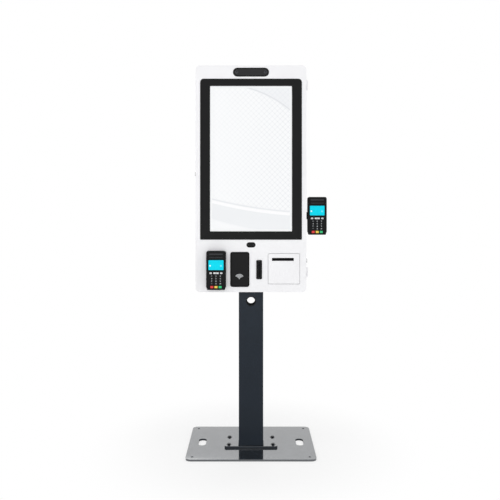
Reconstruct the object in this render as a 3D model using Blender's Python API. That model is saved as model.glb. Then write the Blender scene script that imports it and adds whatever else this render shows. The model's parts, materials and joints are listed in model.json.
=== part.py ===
"""Self-service payment kiosk on a single column.

Frame: metres, +Z up, X to the right, the customer stands on the -Y side.
The origin is the centre of the base plate's underside.
"""
import math

import bmesh
import bpy
from mathutils import Matrix
from mathutils import Vector

# Fits
GAP = 0.0003
RUNNING = 0.0003
SHEET = 0.0020
WELD = 0.0010
ROUND = 24

# Stand
BASE_WIDTH = 0.535
BASE_DEPTH = 0.385
BASE_THICK = 0.008
BASE_CORNER = 0.022
BASE_HOLE_RADIUS = 0.005
BASE_HOLE_INSET = 0.027
BASE_SLOT_WIDTH = 0.033
BASE_SLOT_LENGTH = 0.080
BASE_SLOT_INSET = 0.0565
FLANGE_WIDTH = 0.225
FLANGE_DEPTH = 0.126
FLANGE_THICK = 0.008
FLANGE_CORNER = 0.010
FLANGE_SETBACK = 0.025
FLANGE_BOLT_INSET_X = 0.0185
FLANGE_BOLT_INSET_Y = 0.020
BOLT_SHANK = 0.004
BOLT_HEAD = 0.0068
BOLT_HEAD_THICK = 0.005
BOLT_FLOOR = 0.001
COLUMN_WIDTH = 0.104
COLUMN_DEPTH = 0.060
COLUMN_CORNER = 0.006
COLUMN_WALL = 0.003
COLUMN_TOP = 1.040
COLUMN_HOLE_Z = 0.6295
COLUMN_HOLE_RADIUS = 0.020
CAP_THICK = 0.003
CAP_PLUG = 0.010
PLATE_WIDTH = 0.200
PLATE_HEIGHT = 0.220
PLATE_THICK = 0.004
PLATE_CORNER = 0.012
PLATE_Z = 0.930
CABLE_HOLE_RADIUS = 0.018

# Head
HEAD_WIDTH = 0.455
HEAD_HEIGHT = 0.930
HEAD_DEPTH = 0.090
HEAD_TOP = 1.611
HEAD_FRONT = -0.1580
HEAD_CORNER = 0.018
DOOR_DEPTH = 0.0125
HINGE_OUT = 0.0038
HINGE_KNUCKLE = 0.0035
HINGE_PIN = 0.0016
HINGE_LEAF = 0.0015
HINGE_LENGTH = 0.040
HINGE_FIXED_REACH = 0.020
HINGE_MOVING_REACH = 0.010
HINGE_INSET = 0.080

# Display
BEZEL_WIDTH = 0.417
BEZEL_HEIGHT = 0.660
BEZEL_TOP = 1.556
BEZEL_CORNER = 0.014
BEZEL_FOOT_CORNER = 0.003
BEZEL_PROUD = 0.0015
BEZEL_FLANGE = 0.005
BEZEL_FLANGE_THICK = 0.0018
SCREEN_WIDTH = 0.336
SCREEN_HEIGHT = 0.596
SCREEN_TOP = 1.526
GLASS_OVERLAP = 0.008
GLASS_THICK = 0.003
PANEL_OVERLAP = 0.022
PANEL_THICK = 0.016

# Front fittings
FITTING_FLANGE = 0.003
FITTING_FLANGE_THICK = 0.002
CAMERA_WIDTH = 0.148
CAMERA_HEIGHT = 0.036
CAMERA_Z = 1.5830
CAMERA_RIM = 0.005
CAMERA_PROUD = 0.0015
CAMERA_RECESS = 0.001
SENSOR_WIDTH = 0.037
SENSOR_HEIGHT = 0.021
SENSOR_Z = 0.8745
SENSOR_PROUD = 0.001
READER_WIDTH = 0.078
READER_HEIGHT = 0.143
READER_X = -0.046
READER_Z = 0.7738
READER_CORNER = 0.009
READER_PROUD = 0.003
READER_RIM = 0.005
READER_BACK = 0.022
CARD_WIDTH = 0.023
CARD_HEIGHT = 0.078
CARD_X = 0.0334
CARD_Z = 0.773
CARD_CORNER = 0.004
CARD_PROUD = 0.0035
CARD_SLOT_WIDTH = 0.003
CARD_SLOT_HEIGHT = 0.058
CARD_MODULE_WIDTH = 0.040
CARD_MODULE_HEIGHT = 0.092
CARD_MODULE_DEPTH = 0.042

# Receipt printer
HATCH_WIDTH = 0.129
HATCH_HEIGHT = 0.124
HATCH_X = 0.135
HATCH_Z = 0.7766
HATCH_CORNER = 0.005
HATCH_GAP = 0.0012
HATCH_HINGE_IN = 0.008
HATCH_KNUCKLE = 0.0022
HATCH_KNUCKLE_LENGTH = 0.014
HATCH_PIN = 0.001
HATCH_LUG = 0.007
PAPER_SLOT_WIDTH = 0.0895
PAPER_SLOT_HEIGHT = 0.012
PAPER_SLOT_X = 0.1308
PAPER_SLOT_Z = 0.815
SHELF_THICK = 0.0025
SHELF_MARGIN = 0.004
SHELF_DROP = 0.006
PRINTER_WIDTH = 0.090
PRINTER_HEIGHT = 0.098
PRINTER_DEPTH = 0.052
PRINTER_SET_BACK = 0.0065
PRINTER_WALL = 0.003
PRINTER_SIDE_PLAY = 0.0006
HEAD_BLOCK_DEPTH = 0.009
HEAD_BLOCK_HEIGHT = 0.018
PLATEN_RADIUS = 0.006
PLATEN_SHAFT = 0.002
PLATEN_NIP = 0.0006
PLATEN_FRONT = 0.0015
ROLL_RADIUS = 0.023
SPINDLE_RADIUS = 0.005
SPINDLE_RISE = 0.0272
SPINDLE_BACK = 0.0272
SHAFT_END = 0.002

# Locks
LOCK_HEAD = 0.0095
LOCK_HEAD_THICK = 0.004
LOCK_BARREL = 0.008
LOCK_BARREL_LENGTH = 0.0145
LOCK_PLUG = 0.005
LOCK_PLUG_INSET = 0.0008
LOCK_BEHIND_DOOR = 0.012
CAM_LENGTH = 0.020
CAM_HALF_WIDTH = 0.002
CAM_THICK = 0.003
DOOR_LOCK_Z = 1.167
DOOR_LOCK_SET_BACK = 0.0080
CATCH_WIDTH = 0.008
CATCH_HEIGHT = 0.010
CATCH_THICK = 0.006
CATCH_OVERLAP = 0.004
CATCH_SIDE_PLAY = 0.0025
HATCH_LOCK_Z = 0.808
HATCH_ROD = 0.0025
TONGUE_WIDTH = 0.010
TONGUE_THICK = 0.002
TONGUE_INSET = 0.0035
TONGUE_LIP = 0.008
TONGUE_CLEAR = 0.0025
CATCH_BEHIND_CAM = 0.002

# Card terminals
TERMINAL_WIDTH = 0.080
TERMINAL_HEIGHT = 0.158
TERMINAL_CORNER = 0.008
TERMINAL_SHELL = 0.020
TERMINAL_COVER = 0.003
TERMINAL_WALL = 0.0025
FOOT_WIDTH = 0.0740
FOOT_HEIGHT = 0.0095
FOOT_STEP = 0.002
WINDOW_WIDTH = 0.061
WINDOW_HEIGHT = 0.040
WINDOW_RISE = 0.1010
WINDOW_INSET = 0.0002
WINDOW_THICK = 0.0017
KEY_WIDTH = 0.012
KEY_HEIGHT = 0.007
KEY_PITCH_X = 0.0175
KEY_PITCH_Z = 0.0104
KEY_TOP_ROW = 0.0568
KEY_ROWS = 4
KEY_PROUD = 0.0012
MENU_RISE = 0.0685
MENU_KEY_WIDTH = 0.010
MENU_BAR_WIDTH = 0.022
MENU_KEY_X = 0.0215
MAT_WIDTH = 0.066
MAT_LOW = 0.0200
MAT_HIGH = 0.0760
MAT_THICK = 0.0015
COLOUR_KEY_HEIGHT = 0.009
COLOUR_KEY_PITCH = 0.0168
COLOUR_KEY_RISE = 0.0120
COLOUR_KEY_LIP = 0.0008
COLOUR_KEY_LIP_THICK = 0.001
LID_WIDTH = 0.064
LID_LOW = 0.1255
LID_TOP_INSET = 0.002
LID_THICK = 0.003
BAY_WIDTH = 0.056
BAY_MARGIN = 0.003
CRADLE_WIDTH = 0.060
CRADLE_HEIGHT = 0.120
CRADLE_THICK = 0.005
CRADLE_CORNER = 0.006
FRONT_TERMINAL_X = -0.142
FRONT_TERMINAL_Z = 0.7721
SIDE_TERMINAL_CLEAR = 0.0085
SIDE_TERMINAL_Z = 0.993

# Side bracket
TILT_Y = -0.0815
TILT_RADIUS = 0.005
TILT_PIN = 0.0025
TILT_CLEAR = 0.0004
TILT_BOSS_WIDTH = 0.022
EAR_THICK = 0.005
ARM_THICK = 0.004
ARM_HEIGHT = 0.030
ARM_CLEAR = 0.001
WALL_PLATE_THICK = 0.003
WALL_PLATE_DEPTH = 0.034
WALL_PLATE_HEIGHT = 0.070

# Inside the housing and on its back
COMPUTER_WIDTH = 0.200
COMPUTER_HEIGHT = 0.220
COMPUTER_DEPTH = 0.040
COMPUTER_Z = 1.330
SUPPLY_WIDTH = 0.160
SUPPLY_HEIGHT = 0.080
SUPPLY_DEPTH = 0.038
SUPPLY_X = -0.090
SUPPLY_Z = 1.120
BOX_CORNER = 0.004
FAN_SIZE = 0.060
FAN_DEPTH = 0.015
FAN_CORNER = 0.004
FAN_X = -0.140
FAN_Z = 1.520
FAN_BORE = 0.028
FAN_HUB = 0.010
FAN_HUB_DEPTH = 0.003
FAN_STRUT = 0.003
FAN_SHAFT = 0.0015
FAN_ROTOR = 0.027
FAN_ROTOR_HUB = 0.009
FAN_BLADES = 7
FAN_BLADE_THICK = 0.0012
FAN_BLADE_TILT = 35.0
INLET_X = -0.150
INLET_Z = 0.730
INLET_WIDTH = 0.048
INLET_HEIGHT = 0.028
INLET_DEPTH = 0.028
INLET_RIM = 0.003
INLET_CORNER = 0.003
SOCKET_WIDTH = 0.022
SOCKET_HEIGHT = 0.016
SOCKET_DEPTH = 0.014
SOCKET_SHIFT = 0.011
ROCKER_WIDTH = 0.010
ROCKER_HEIGHT = 0.018
ROCKER_DEPTH = 0.006
ROCKER_SHIFT = 0.0155
ROCKER_PLAY = 0.0006
ROCKER_SINK = 0.0045
ROCKER_TILT = 5.0

# Places worked out from the sizes above
HEAD_BOTTOM = HEAD_TOP - HEAD_HEIGHT
HEAD_Z = HEAD_TOP - HEAD_HEIGHT / 2
HEAD_BACK = HEAD_FRONT + HEAD_DEPTH
SIDE = HEAD_WIDTH / 2
FACE_BACK = HEAD_FRONT + SHEET
DOOR_BACK = HEAD_FRONT + DOOR_DEPTH
HOUSING_FRONT = DOOR_BACK + GAP
HOUSING_FLOOR = HEAD_BACK - SHEET
PLATE_FRONT = HEAD_BACK + GAP
PLATE_BACK = PLATE_FRONT + PLATE_THICK
COLUMN_FRONT = PLATE_BACK + GAP
COLUMN_Y = COLUMN_FRONT + COLUMN_DEPTH / 2
FLANGE_Y = COLUMN_Y + FLANGE_SETBACK
FLANGE_BOTTOM = BASE_THICK + GAP
FLANGE_TOP = FLANGE_BOTTOM + FLANGE_THICK
COLUMN_BOTTOM = FLANGE_TOP + GAP
BEZEL_FRONT = HEAD_FRONT - BEZEL_PROUD
FLANGE_FRONT = FACE_BACK + GAP
BEZEL_BACK = FLANGE_FRONT + BEZEL_FLANGE_THICK
SCREEN_Z = SCREEN_TOP - SCREEN_HEIGHT / 2
GLASS_BACK = BEZEL_BACK - GAP
GLASS_FRONT = GLASS_BACK - GLASS_THICK
BEZEL_LIP_BACK = GLASS_FRONT - GAP
PANEL_FRONT = BEZEL_BACK + GAP
HINGE_X = SIDE + HINGE_OUT
HINGE_Y = DOOR_BACK
HATCH_LEFT = HATCH_X - HATCH_WIDTH / 2
HATCH_RIGHT = HATCH_X + HATCH_WIDTH / 2
HATCH_AXIS_X = HATCH_LEFT + HATCH_HINGE_IN
HATCH_AXIS_Y = FACE_BACK + HATCH_KNUCKLE
SHELF_TOP = HATCH_Z - HATCH_HEIGHT / 2 - SHELF_DROP
PRINTER_X = PAPER_SLOT_X
PRINTER_FRONT = FACE_BACK + PRINTER_SET_BACK
PRINTER_BACK = PRINTER_FRONT + PRINTER_DEPTH
PRINTER_BOTTOM = SHELF_TOP + GAP
PRINTER_TOP = PRINTER_BOTTOM + PRINTER_HEIGHT
PLATEN_Y = PRINTER_FRONT + PLATEN_FRONT + PLATEN_RADIUS
PLATEN_Z = PRINTER_TOP - PRINTER_WALL - HEAD_BLOCK_HEIGHT / 2
SPINDLE_Y = PRINTER_BACK - SPINDLE_BACK
SPINDLE_Z = PRINTER_BOTTOM + SPINDLE_RISE
DOOR_LOCK_Y = HOUSING_FRONT + LOCK_BEHIND_DOOR + DOOR_LOCK_SET_BACK
HATCH_LOCK_Y = HOUSING_FRONT + LOCK_BEHIND_DOOR
LOCK_BARREL_END = SIDE + GAP - LOCK_BARREL_LENGTH
CAM_X = LOCK_BARREL_END - GAP
TONGUE_RIGHT = HATCH_RIGHT - TONGUE_INSET
TONGUE_TOP = HATCH_LOCK_Z - CAM_LENGTH - TONGUE_CLEAR
CRADLE_FRONT_Y = HEAD_FRONT - GAP - CRADLE_THICK
TERMINAL_DEPTH = TERMINAL_SHELL + GAP + TERMINAL_COVER
SIDE_TERMINAL_X = SIDE + SIDE_TERMINAL_CLEAR + TERMINAL_WIDTH / 2
SIDE_CRADLE_BACK = TILT_Y - TILT_RADIUS - TILT_CLEAR
SIDE_CRADLE_FRONT = SIDE_CRADLE_BACK - CRADLE_THICK

# Finishes: colour, roughness, metallic
WHITE = ((0.90, 0.90, 0.91), 0.35, 0.0)
BLACK = ((0.020, 0.020, 0.021), 0.35, 0.0)
CHARCOAL = ((0.050, 0.050, 0.050), 0.45, 0.0)
NAVY = ((0.026, 0.034, 0.046), 0.40, 0.2)
GLASS = ((0.85, 0.88, 0.90), 0.05, 0.0)
STEEL = ((0.55, 0.56, 0.57), 0.30, 1.0)
RUBBER = ((0.03, 0.03, 0.03), 0.80, 0.0)
PAPER = ((0.88, 0.88, 0.86), 0.90, 0.0)
CYAN = ((0.0, 0.67, 0.88), 0.15, 0.0)
RED = ((0.75, 0.03, 0.02), 0.40, 0.0)
YELLOW = ((0.80, 0.60, 0.05), 0.40, 0.0)
GREEN = ((0.02, 0.60, 0.25), 0.40, 0.0)


# Shape helpers -------------------------------------------------------------
def at(axis, u, v, w):
    """Point of an outline (u, v) at depth w along an axis."""
    if axis == "X":
        return Vector((w, u, v))
    if axis == "Y":
        return Vector((u, w, v))
    return Vector((u, v, w))


def arc(centre, radius, first, last, steps=4):
    """Points along an arc, angles in degrees."""
    points = []
    for step in range(steps + 1):
        angle = math.radians(first + (last - first) * step / steps)
        u = centre[0] + radius * math.cos(angle)
        v = centre[1] + radius * math.sin(angle)
        points.append((u, v))
    return points


def rounded(centre, size, radius, steps=4):
    """Outline of a rectangle with round corners."""
    radius = min(radius, size[0] / 2, size[1] / 2) * 0.9999
    half_u = size[0] / 2 - radius
    half_v = size[1] / 2 - radius
    points = []
    for turn, (side_u, side_v) in enumerate(((1, 1), (-1, 1), (-1, -1), (1, -1))):
        middle = (centre[0] + side_u * half_u, centre[1] + side_v * half_v)
        points += arc(middle, radius, 90 * turn, 90 * turn + 90, steps)
    return points


def add_prism(bm, axis, outline, start, end):
    """Add a closed outline extruded along an axis."""
    ring = [bm.verts.new(at(axis, u, v, start)) for u, v in outline]
    face = bm.faces.new(ring)
    grown = bmesh.ops.extrude_face_region(bm, geom=[face])
    moved = [item for item in grown["geom"] if isinstance(item, bmesh.types.BMVert)]
    bmesh.ops.translate(bm, verts=moved, vec=at(axis, 0.0, 0.0, end - start))


def add_box(bm, low, high):
    """Add a box between two corners."""
    middle = [(a + b) / 2 for a, b in zip(low, high)]
    size = [b - a for a, b in zip(low, high)]
    matrix = Matrix.Translation(middle) @ Matrix.Diagonal((*size, 1.0))
    bmesh.ops.create_cube(bm, size=1.0, matrix=matrix)


def add_cylinder(bm, axis, centre, radius, start, end, segments=ROUND):
    """Add a closed cylinder along an axis."""
    turns = {
        "X": Matrix.Rotation(math.pi / 2, 4, "Y"),
        "Y": Matrix.Rotation(math.pi / 2, 4, "X"),
        "Z": Matrix.Identity(4),
    }
    middle = at(axis, centre[0], centre[1], (start + end) / 2)
    matrix = Matrix.Translation(middle) @ turns[axis]
    bmesh.ops.create_cone(bm, cap_ends=True, segments=segments, radius1=radius,
                          radius2=radius, depth=abs(end - start), matrix=matrix)


def make_object(name, bm, pivot):
    """Give a bmesh in world coordinates an object with its origin at the pivot."""
    bmesh.ops.recalc_face_normals(bm, faces=bm.faces)
    bmesh.ops.translate(bm, verts=bm.verts, vec=-Vector(pivot))
    mesh = bpy.data.meshes.new(name)
    bm.to_mesh(mesh)
    bm.free()
    mesh.shade_smooth()
    mesh.set_sharp_from_angle(angle=math.radians(35.0))
    item = bpy.data.objects.new(name, mesh)
    item.location = pivot
    bpy.context.collection.objects.link(item)
    return item


def make_part(name, bm, finish, pivot=(0.0, 0.0, 0.0)):
    """Make a named sub-part with its own material."""
    colour, roughness, metallic = finish
    part = make_object(name, bm, pivot)
    material = bpy.data.materials.new(name + "_finish")
    material.use_nodes = True
    shader = material.node_tree.nodes["Principled BSDF"]
    shader.inputs["Base Color"].default_value = (*colour, 1.0)
    shader.inputs["Roughness"].default_value = roughness
    shader.inputs["Metallic"].default_value = metallic
    part.data.materials.append(material)
    return part


def combine(part, label, bm, operation):
    """Apply a guide shape to a part with an exact Boolean."""
    guide = make_object(part.name + "_" + label, bm, (0.0, 0.0, 0.0))
    guide.hide_render = True
    guide.display_type = "WIRE"
    modifier = part.modifiers.new(label, "BOOLEAN")
    modifier.operation = operation
    modifier.solver = "EXACT"
    modifier.object = guide


def cut(part, label, bm):
    """Cut a shape out of a part."""
    combine(part, label, bm, "DIFFERENCE")


def weld(part, label, bm):
    """Weld a shape that overlaps a part onto it."""
    combine(part, label, bm, "UNION")


def prism(axis, outline, start, end):
    """A bmesh with one prism."""
    bm = bmesh.new()
    add_prism(bm, axis, outline, start, end)
    return bm


def box(low, high):
    """A bmesh with one box."""
    bm = bmesh.new()
    add_box(bm, low, high)
    return bm


def cylinder(axis, centre, radius, start, end, segments=ROUND):
    """A bmesh with one cylinder."""
    bm = bmesh.new()
    add_cylinder(bm, axis, centre, radius, start, end, segments)
    return bm


# Stand ---------------------------------------------------------------------
def flange_bolt_places():
    """Bolt centres on the foot flange."""
    reach_x = FLANGE_WIDTH / 2 - FLANGE_BOLT_INSET_X
    reach_y = FLANGE_DEPTH / 2 - FLANGE_BOLT_INSET_Y
    return [(side * reach_x, FLANGE_Y + end * reach_y) for end in (-1, 1) for side in (-1, 1)]


def build_base_plate():
    """Floor plate with corner fixing holes, bolt holes and two oblong slots."""
    outline = rounded((0.0, 0.0), (BASE_WIDTH, BASE_DEPTH), BASE_CORNER)
    plate = make_part("base_plate", prism("Z", outline, 0.0, BASE_THICK), NAVY)
    holes = bmesh.new()
    for side in (-1, 1):
        for end in (-1, 1):
            centre = (side * (BASE_WIDTH / 2 - BASE_HOLE_INSET),
                      end * (BASE_DEPTH / 2 - BASE_HOLE_INSET))
            add_cylinder(holes, "Z", centre, BASE_HOLE_RADIUS, -WELD, BASE_THICK + WELD)
        centre = (side * (BASE_WIDTH / 2 - BASE_SLOT_INSET), 0.0)
        slot = rounded(centre, (BASE_SLOT_WIDTH, BASE_SLOT_LENGTH), BASE_SLOT_WIDTH / 2)
        add_prism(holes, "Z", slot, -WELD, BASE_THICK + WELD)
    for place in flange_bolt_places():
        add_cylinder(holes, "Z", place, BOLT_SHANK + RUNNING, -WELD, BASE_THICK + WELD)
    cut(plate, "holes", holes)


def build_foot_flange():
    """Thick flange at the column's foot."""
    outline = rounded((0.0, FLANGE_Y), (FLANGE_WIDTH, FLANGE_DEPTH), FLANGE_CORNER)
    flange = make_part("foot_flange", prism("Z", outline, FLANGE_BOTTOM, FLANGE_TOP), NAVY)
    holes = bmesh.new()
    for place in flange_bolt_places():
        add_cylinder(holes, "Z", place, BOLT_SHANK + RUNNING, 0.0, FLANGE_TOP + WELD)
    cut(flange, "holes", holes)


def build_foot_bolts():
    """Hexagon bolts through the flange and the base plate."""
    for number, place in enumerate(flange_bolt_places(), start=1):
        head_low = FLANGE_TOP + GAP
        head = cylinder("Z", place, BOLT_HEAD, head_low, head_low + BOLT_HEAD_THICK, 6)
        bolt = make_part("foot_bolt_" + str(number), head, STEEL)
        weld(bolt, "shank", cylinder("Z", place, BOLT_SHANK, BOLT_FLOOR, head_low + WELD))


def column_outline(inset):
    """Outline of the column, or of its inside."""
    size = (COLUMN_WIDTH - 2 * inset, COLUMN_DEPTH - 2 * inset)
    return rounded((0.0, COLUMN_Y), size, COLUMN_CORNER - min(inset, COLUMN_WALL))


def build_column():
    """Rectangular tube with a round hole through it and a cable way to the head."""
    tube = make_part("column", prism("Z", column_outline(0.0), COLUMN_BOTTOM, COLUMN_TOP), NAVY)
    duct = prism("Z", column_outline(COLUMN_WALL), COLUMN_BOTTOM - WELD, COLUMN_TOP + WELD)
    cut(tube, "duct", duct)
    back = COLUMN_FRONT + COLUMN_DEPTH
    hole = cylinder("Y", (0.0, COLUMN_HOLE_Z), COLUMN_HOLE_RADIUS, COLUMN_FRONT - WELD, back + WELD)
    cut(tube, "hole", hole)
    way = cylinder("Y", (0.0, PLATE_Z), CABLE_HOLE_RADIUS, COLUMN_FRONT - WELD, COLUMN_Y)
    cut(tube, "cable_way", way)


def build_column_cap():
    """Plastic cap pressed into the column's top."""
    low = COLUMN_TOP + GAP
    cap = make_part("column_cap", prism("Z", column_outline(0.0), low, low + CAP_THICK), BLACK)
    plug = prism("Z", column_outline(COLUMN_WALL + GAP), COLUMN_TOP - CAP_PLUG, low + WELD)
    weld(cap, "plug", plug)


def build_mount_plate():
    """Steel plate between the column and the head's back."""
    outline = rounded((0.0, PLATE_Z), (PLATE_WIDTH, PLATE_HEIGHT), PLATE_CORNER)
    plate = make_part("mount_plate", prism("Y", outline, PLATE_FRONT, PLATE_BACK), NAVY)
    way = cylinder("Y", (0.0, PLATE_Z), CABLE_HOLE_RADIUS, PLATE_FRONT - WELD, PLATE_BACK + WELD)
    cut(plate, "cable_way", way)


# Head ----------------------------------------------------------------------
def head_outline(inset):
    """Outline of the head, or of its inside."""
    size = (HEAD_WIDTH - 2 * inset, HEAD_HEIGHT - 2 * inset)
    return rounded((0.0, HEAD_Z), size, HEAD_CORNER - inset)


def build_rear_housing():
    """Sheet-metal walls that hold the locks and the hinges."""
    wall_back = HOUSING_FLOOR - GAP
    walls = prism("Y", head_outline(0.0), HOUSING_FRONT, wall_back)
    housing = make_part("rear_housing", walls, WHITE)
    inside = prism("Y", head_outline(SHEET), HOUSING_FRONT - WELD, wall_back + WELD)
    cut(housing, "inside", inside)
    holes = bmesh.new()
    lock_hole = LOCK_BARREL + GAP
    add_cylinder(holes, "X", (DOOR_LOCK_Y, DOOR_LOCK_Z), lock_hole, -SIDE - WELD, -SIDE + 2 * SHEET)
    add_cylinder(holes, "X", (HATCH_LOCK_Y, HATCH_LOCK_Z), lock_hole, SIDE - 2 * SHEET, SIDE + WELD)
    cut(housing, "holes", holes)


def build_back_panel():
    """Flat back of the housing that carries the computer, the supply, the fan and the inlet."""
    sheet = prism("Y", head_outline(0.0), HOUSING_FLOOR, HEAD_BACK)
    panel = make_part("housing_back", sheet, WHITE)
    front = HOUSING_FLOOR - WELD
    back = HEAD_BACK + WELD
    holes = bmesh.new()
    add_cylinder(holes, "Y", (0.0, PLATE_Z), CABLE_HOLE_RADIUS, front, back)
    add_cylinder(holes, "Y", (FAN_X, FAN_Z), FAN_BORE, front, back)
    size = (INLET_WIDTH + 2 * GAP, INLET_HEIGHT + 2 * GAP)
    add_prism(holes, "Y", rounded((INLET_X, INLET_Z), size, INLET_CORNER), front, back)
    cut(panel, "holes", holes)


def hatch_lug_places():
    """Lower and upper z ranges of the hatch hinge's lugs."""
    reach = HATCH_HEIGHT / 2 + HATCH_GAP + WELD
    lower = (HATCH_Z - reach - HATCH_LUG, HATCH_Z - reach)
    upper = (HATCH_Z + reach, HATCH_Z + reach + HATCH_LUG)
    return lower, upper


def door_openings():
    """Openings in the door's face, one for each fitting."""
    clear = 2 * GAP
    shapes = (
        ((0.0, CAMERA_Z), (CAMERA_WIDTH, CAMERA_HEIGHT), CAMERA_HEIGHT / 2, clear),
        ((0.0, SENSOR_Z), (SENSOR_WIDTH, SENSOR_HEIGHT), SENSOR_HEIGHT / 2, clear),
        ((READER_X, READER_Z), (READER_WIDTH, READER_HEIGHT), READER_CORNER, clear),
        ((CARD_X, CARD_Z), (CARD_WIDTH, CARD_HEIGHT), CARD_CORNER, clear),
        ((HATCH_X, HATCH_Z), (HATCH_WIDTH, HATCH_HEIGHT), HATCH_CORNER, 2 * HATCH_GAP),
    )
    holes = bmesh.new()
    add_prism(holes, "Y", bezel_outline(GAP), HEAD_FRONT - WELD, FACE_BACK + WELD)
    for centre, size, radius, gap in shapes:
        outline = rounded(centre, (size[0] + gap, size[1] + gap), radius + gap / 2)
        add_prism(holes, "Y", outline, HEAD_FRONT - WELD, FACE_BACK + WELD)
    return holes


def build_front_door():
    """Front door tray with the hatch lugs, the printer shelf and the lock catch."""
    door = make_part("front_door", prism("Y", head_outline(0.0), HEAD_FRONT, DOOR_BACK), WHITE,
                     (HINGE_X, HINGE_Y, HEAD_Z))
    cut(door, "inside", prism("Y", head_outline(SHEET), FACE_BACK, DOOR_BACK + WELD))
    cut(door, "openings", door_openings())
    for label, (low, high) in zip(("lower_lug", "upper_lug"), hatch_lug_places()):
        half = HATCH_LUG / 2
        lug = box((HATCH_AXIS_X - half, FACE_BACK - WELD, low),
                  (HATCH_AXIS_X + half, HATCH_AXIS_Y + half, high))
        weld(door, label, lug)
    lugs = hatch_lug_places()
    bore = cylinder("Z", (HATCH_AXIS_X, HATCH_AXIS_Y), HATCH_PIN + RUNNING,
                    lugs[0][0] - WELD, lugs[1][1] + WELD, 16)
    cut(door, "pin_bore", bore)
    reach = PRINTER_WIDTH / 2 + SHELF_MARGIN
    shelf = box((PRINTER_X - reach, FACE_BACK - WELD, SHELF_TOP - SHELF_THICK),
                (PRINTER_X + reach, PRINTER_BACK, SHELF_TOP))
    weld(door, "shelf", shelf)
    build_catch(door)


def build_catch(door):
    """Hook on the door's back that the lock's cam drops in front of."""
    left = -SIDE + SHEET + CATCH_SIDE_PLAY
    front = DOOR_LOCK_Y + CAM_HALF_WIDTH + CATCH_BEHIND_CAM
    top = DOOR_LOCK_Z - CAM_LENGTH + CATCH_OVERLAP
    low = top - CATCH_HEIGHT
    back = front + CATCH_THICK
    weld(door, "catch_arm", box((left, FACE_BACK - WELD, low), (left + CATCH_WIDTH, back, top)))
    tip = -CAM_X + CAM_THICK + RUNNING
    weld(door, "catch_hook", box((left + WELD, front, low + GAP), (tip, back - GAP, top - GAP)))


def knuckle_bore(bottom, top):
    """Bore of a moving knuckle, open below."""
    return cylinder("Z", (HINGE_X, HINGE_Y), HINGE_PIN + RUNNING, bottom - WELD, top, 16)


def build_hinge(label, middle):
    """Lift-off hinge outside the right wall: fixed half with its pin, moving half on it."""
    low = middle - HINGE_LENGTH / 2
    high = middle + HINGE_LENGTH / 2
    leaf_in = SIDE + GAP
    leaf_out = leaf_in + HINGE_LEAF
    fixed = make_part("hinge_" + label + "_fixed",
                      cylinder("Z", (HINGE_X, HINGE_Y), HINGE_KNUCKLE, low, middle - GAP), STEEL)
    pin_top = high - 3 * WELD
    weld(fixed, "pin", cylinder("Z", (HINGE_X, HINGE_Y), HINGE_PIN, middle - WELD, pin_top, 16))
    step_high = middle - 2 * GAP
    weld(fixed, "neck", box((leaf_in, HINGE_Y, low + GAP),
                            (leaf_out, HINGE_Y + HINGE_FIXED_REACH / 2, step_high)))
    weld(fixed, "leaf", box((leaf_in, HINGE_Y + HINGE_KNUCKLE + 2 * GAP, low + 2 * GAP),
                            (leaf_out + GAP, HINGE_Y + HINGE_FIXED_REACH, high)))
    moving = make_part("hinge_" + label + "_moving",
                       cylinder("Z", (HINGE_X, HINGE_Y), HINGE_KNUCKLE, middle, high), STEEL,
                       (HINGE_X, HINGE_Y, middle))
    weld(moving, "leaf", box((leaf_in, HINGE_Y - HINGE_MOVING_REACH, middle + GAP),
                             (leaf_out, HINGE_Y, high - GAP)))
    cut(moving, "bore", knuckle_bore(middle, pin_top + WELD))


def build_hinges():
    """The door's two hinges."""
    build_hinge("lower", HEAD_BOTTOM + HINGE_INSET)
    build_hinge("upper", HEAD_TOP - HINGE_INSET)


def build_lock(name, side, lock_y, lock_z):
    """Cam lock's fixed barrel in a side wall of the housing."""
    wall = side * (SIDE + GAP)
    outer = wall + side * LOCK_HEAD_THICK
    inner = side * LOCK_BARREL_END
    axis = (lock_y, lock_z)
    barrel = make_part(name + "_barrel", cylinder("X", axis, LOCK_HEAD, wall, outer), STEEL)
    weld(barrel, "body", cylinder("X", axis, LOCK_BARREL, inner, wall + side * WELD))
    cut(barrel, "bore", cylinder("X", axis, LOCK_PLUG + RUNNING,
                                 inner - side * WELD, outer + side * WELD))
    return outer


def build_door_lock():
    """Lock in the left wall: its cam turns down in front of the door's hook."""
    outer = build_lock("door_lock", -1, DOOR_LOCK_Y, DOOR_LOCK_Z)
    centre = (DOOR_LOCK_Y, DOOR_LOCK_Z)
    plug = cylinder("X", centre, LOCK_PLUG, outer + LOCK_PLUG_INSET, -CAM_X + CAM_THICK)
    cam = make_part("door_lock_cam", plug, STEEL, (-CAM_X, DOOR_LOCK_Y, DOOR_LOCK_Z))
    arm = box((-CAM_X, DOOR_LOCK_Y - CAM_LENGTH, DOOR_LOCK_Z - CAM_HALF_WIDTH),
              (-CAM_X + CAM_THICK - GAP, DOOR_LOCK_Y, DOOR_LOCK_Z + CAM_HALF_WIDTH))
    weld(cam, "arm", arm)


def build_hatch_lock():
    """Lock in the right wall: a rod carries its cam to the hatch's tongue."""
    outer = build_lock("printer_lock", 1, HATCH_LOCK_Y, HATCH_LOCK_Z)
    centre = (HATCH_LOCK_Y, HATCH_LOCK_Z)
    plug = cylinder("X", centre, LOCK_PLUG, CAM_X, outer - LOCK_PLUG_INSET)
    cam = make_part("printer_lock_cam", plug, STEEL, (CAM_X, HATCH_LOCK_Y, HATCH_LOCK_Z))
    tongue_middle = TONGUE_RIGHT - TONGUE_WIDTH / 2
    left = tongue_middle - CAM_THICK / 2
    weld(cam, "rod", cylinder("X", centre, HATCH_ROD, left + GAP, CAM_X + WELD))
    arm = box((left, HATCH_LOCK_Y - CAM_LENGTH, HATCH_LOCK_Z - CAM_HALF_WIDTH),
              (left + CAM_THICK, HATCH_LOCK_Y, HATCH_LOCK_Z + CAM_HALF_WIDTH))
    weld(cam, "arm", arm)


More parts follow.
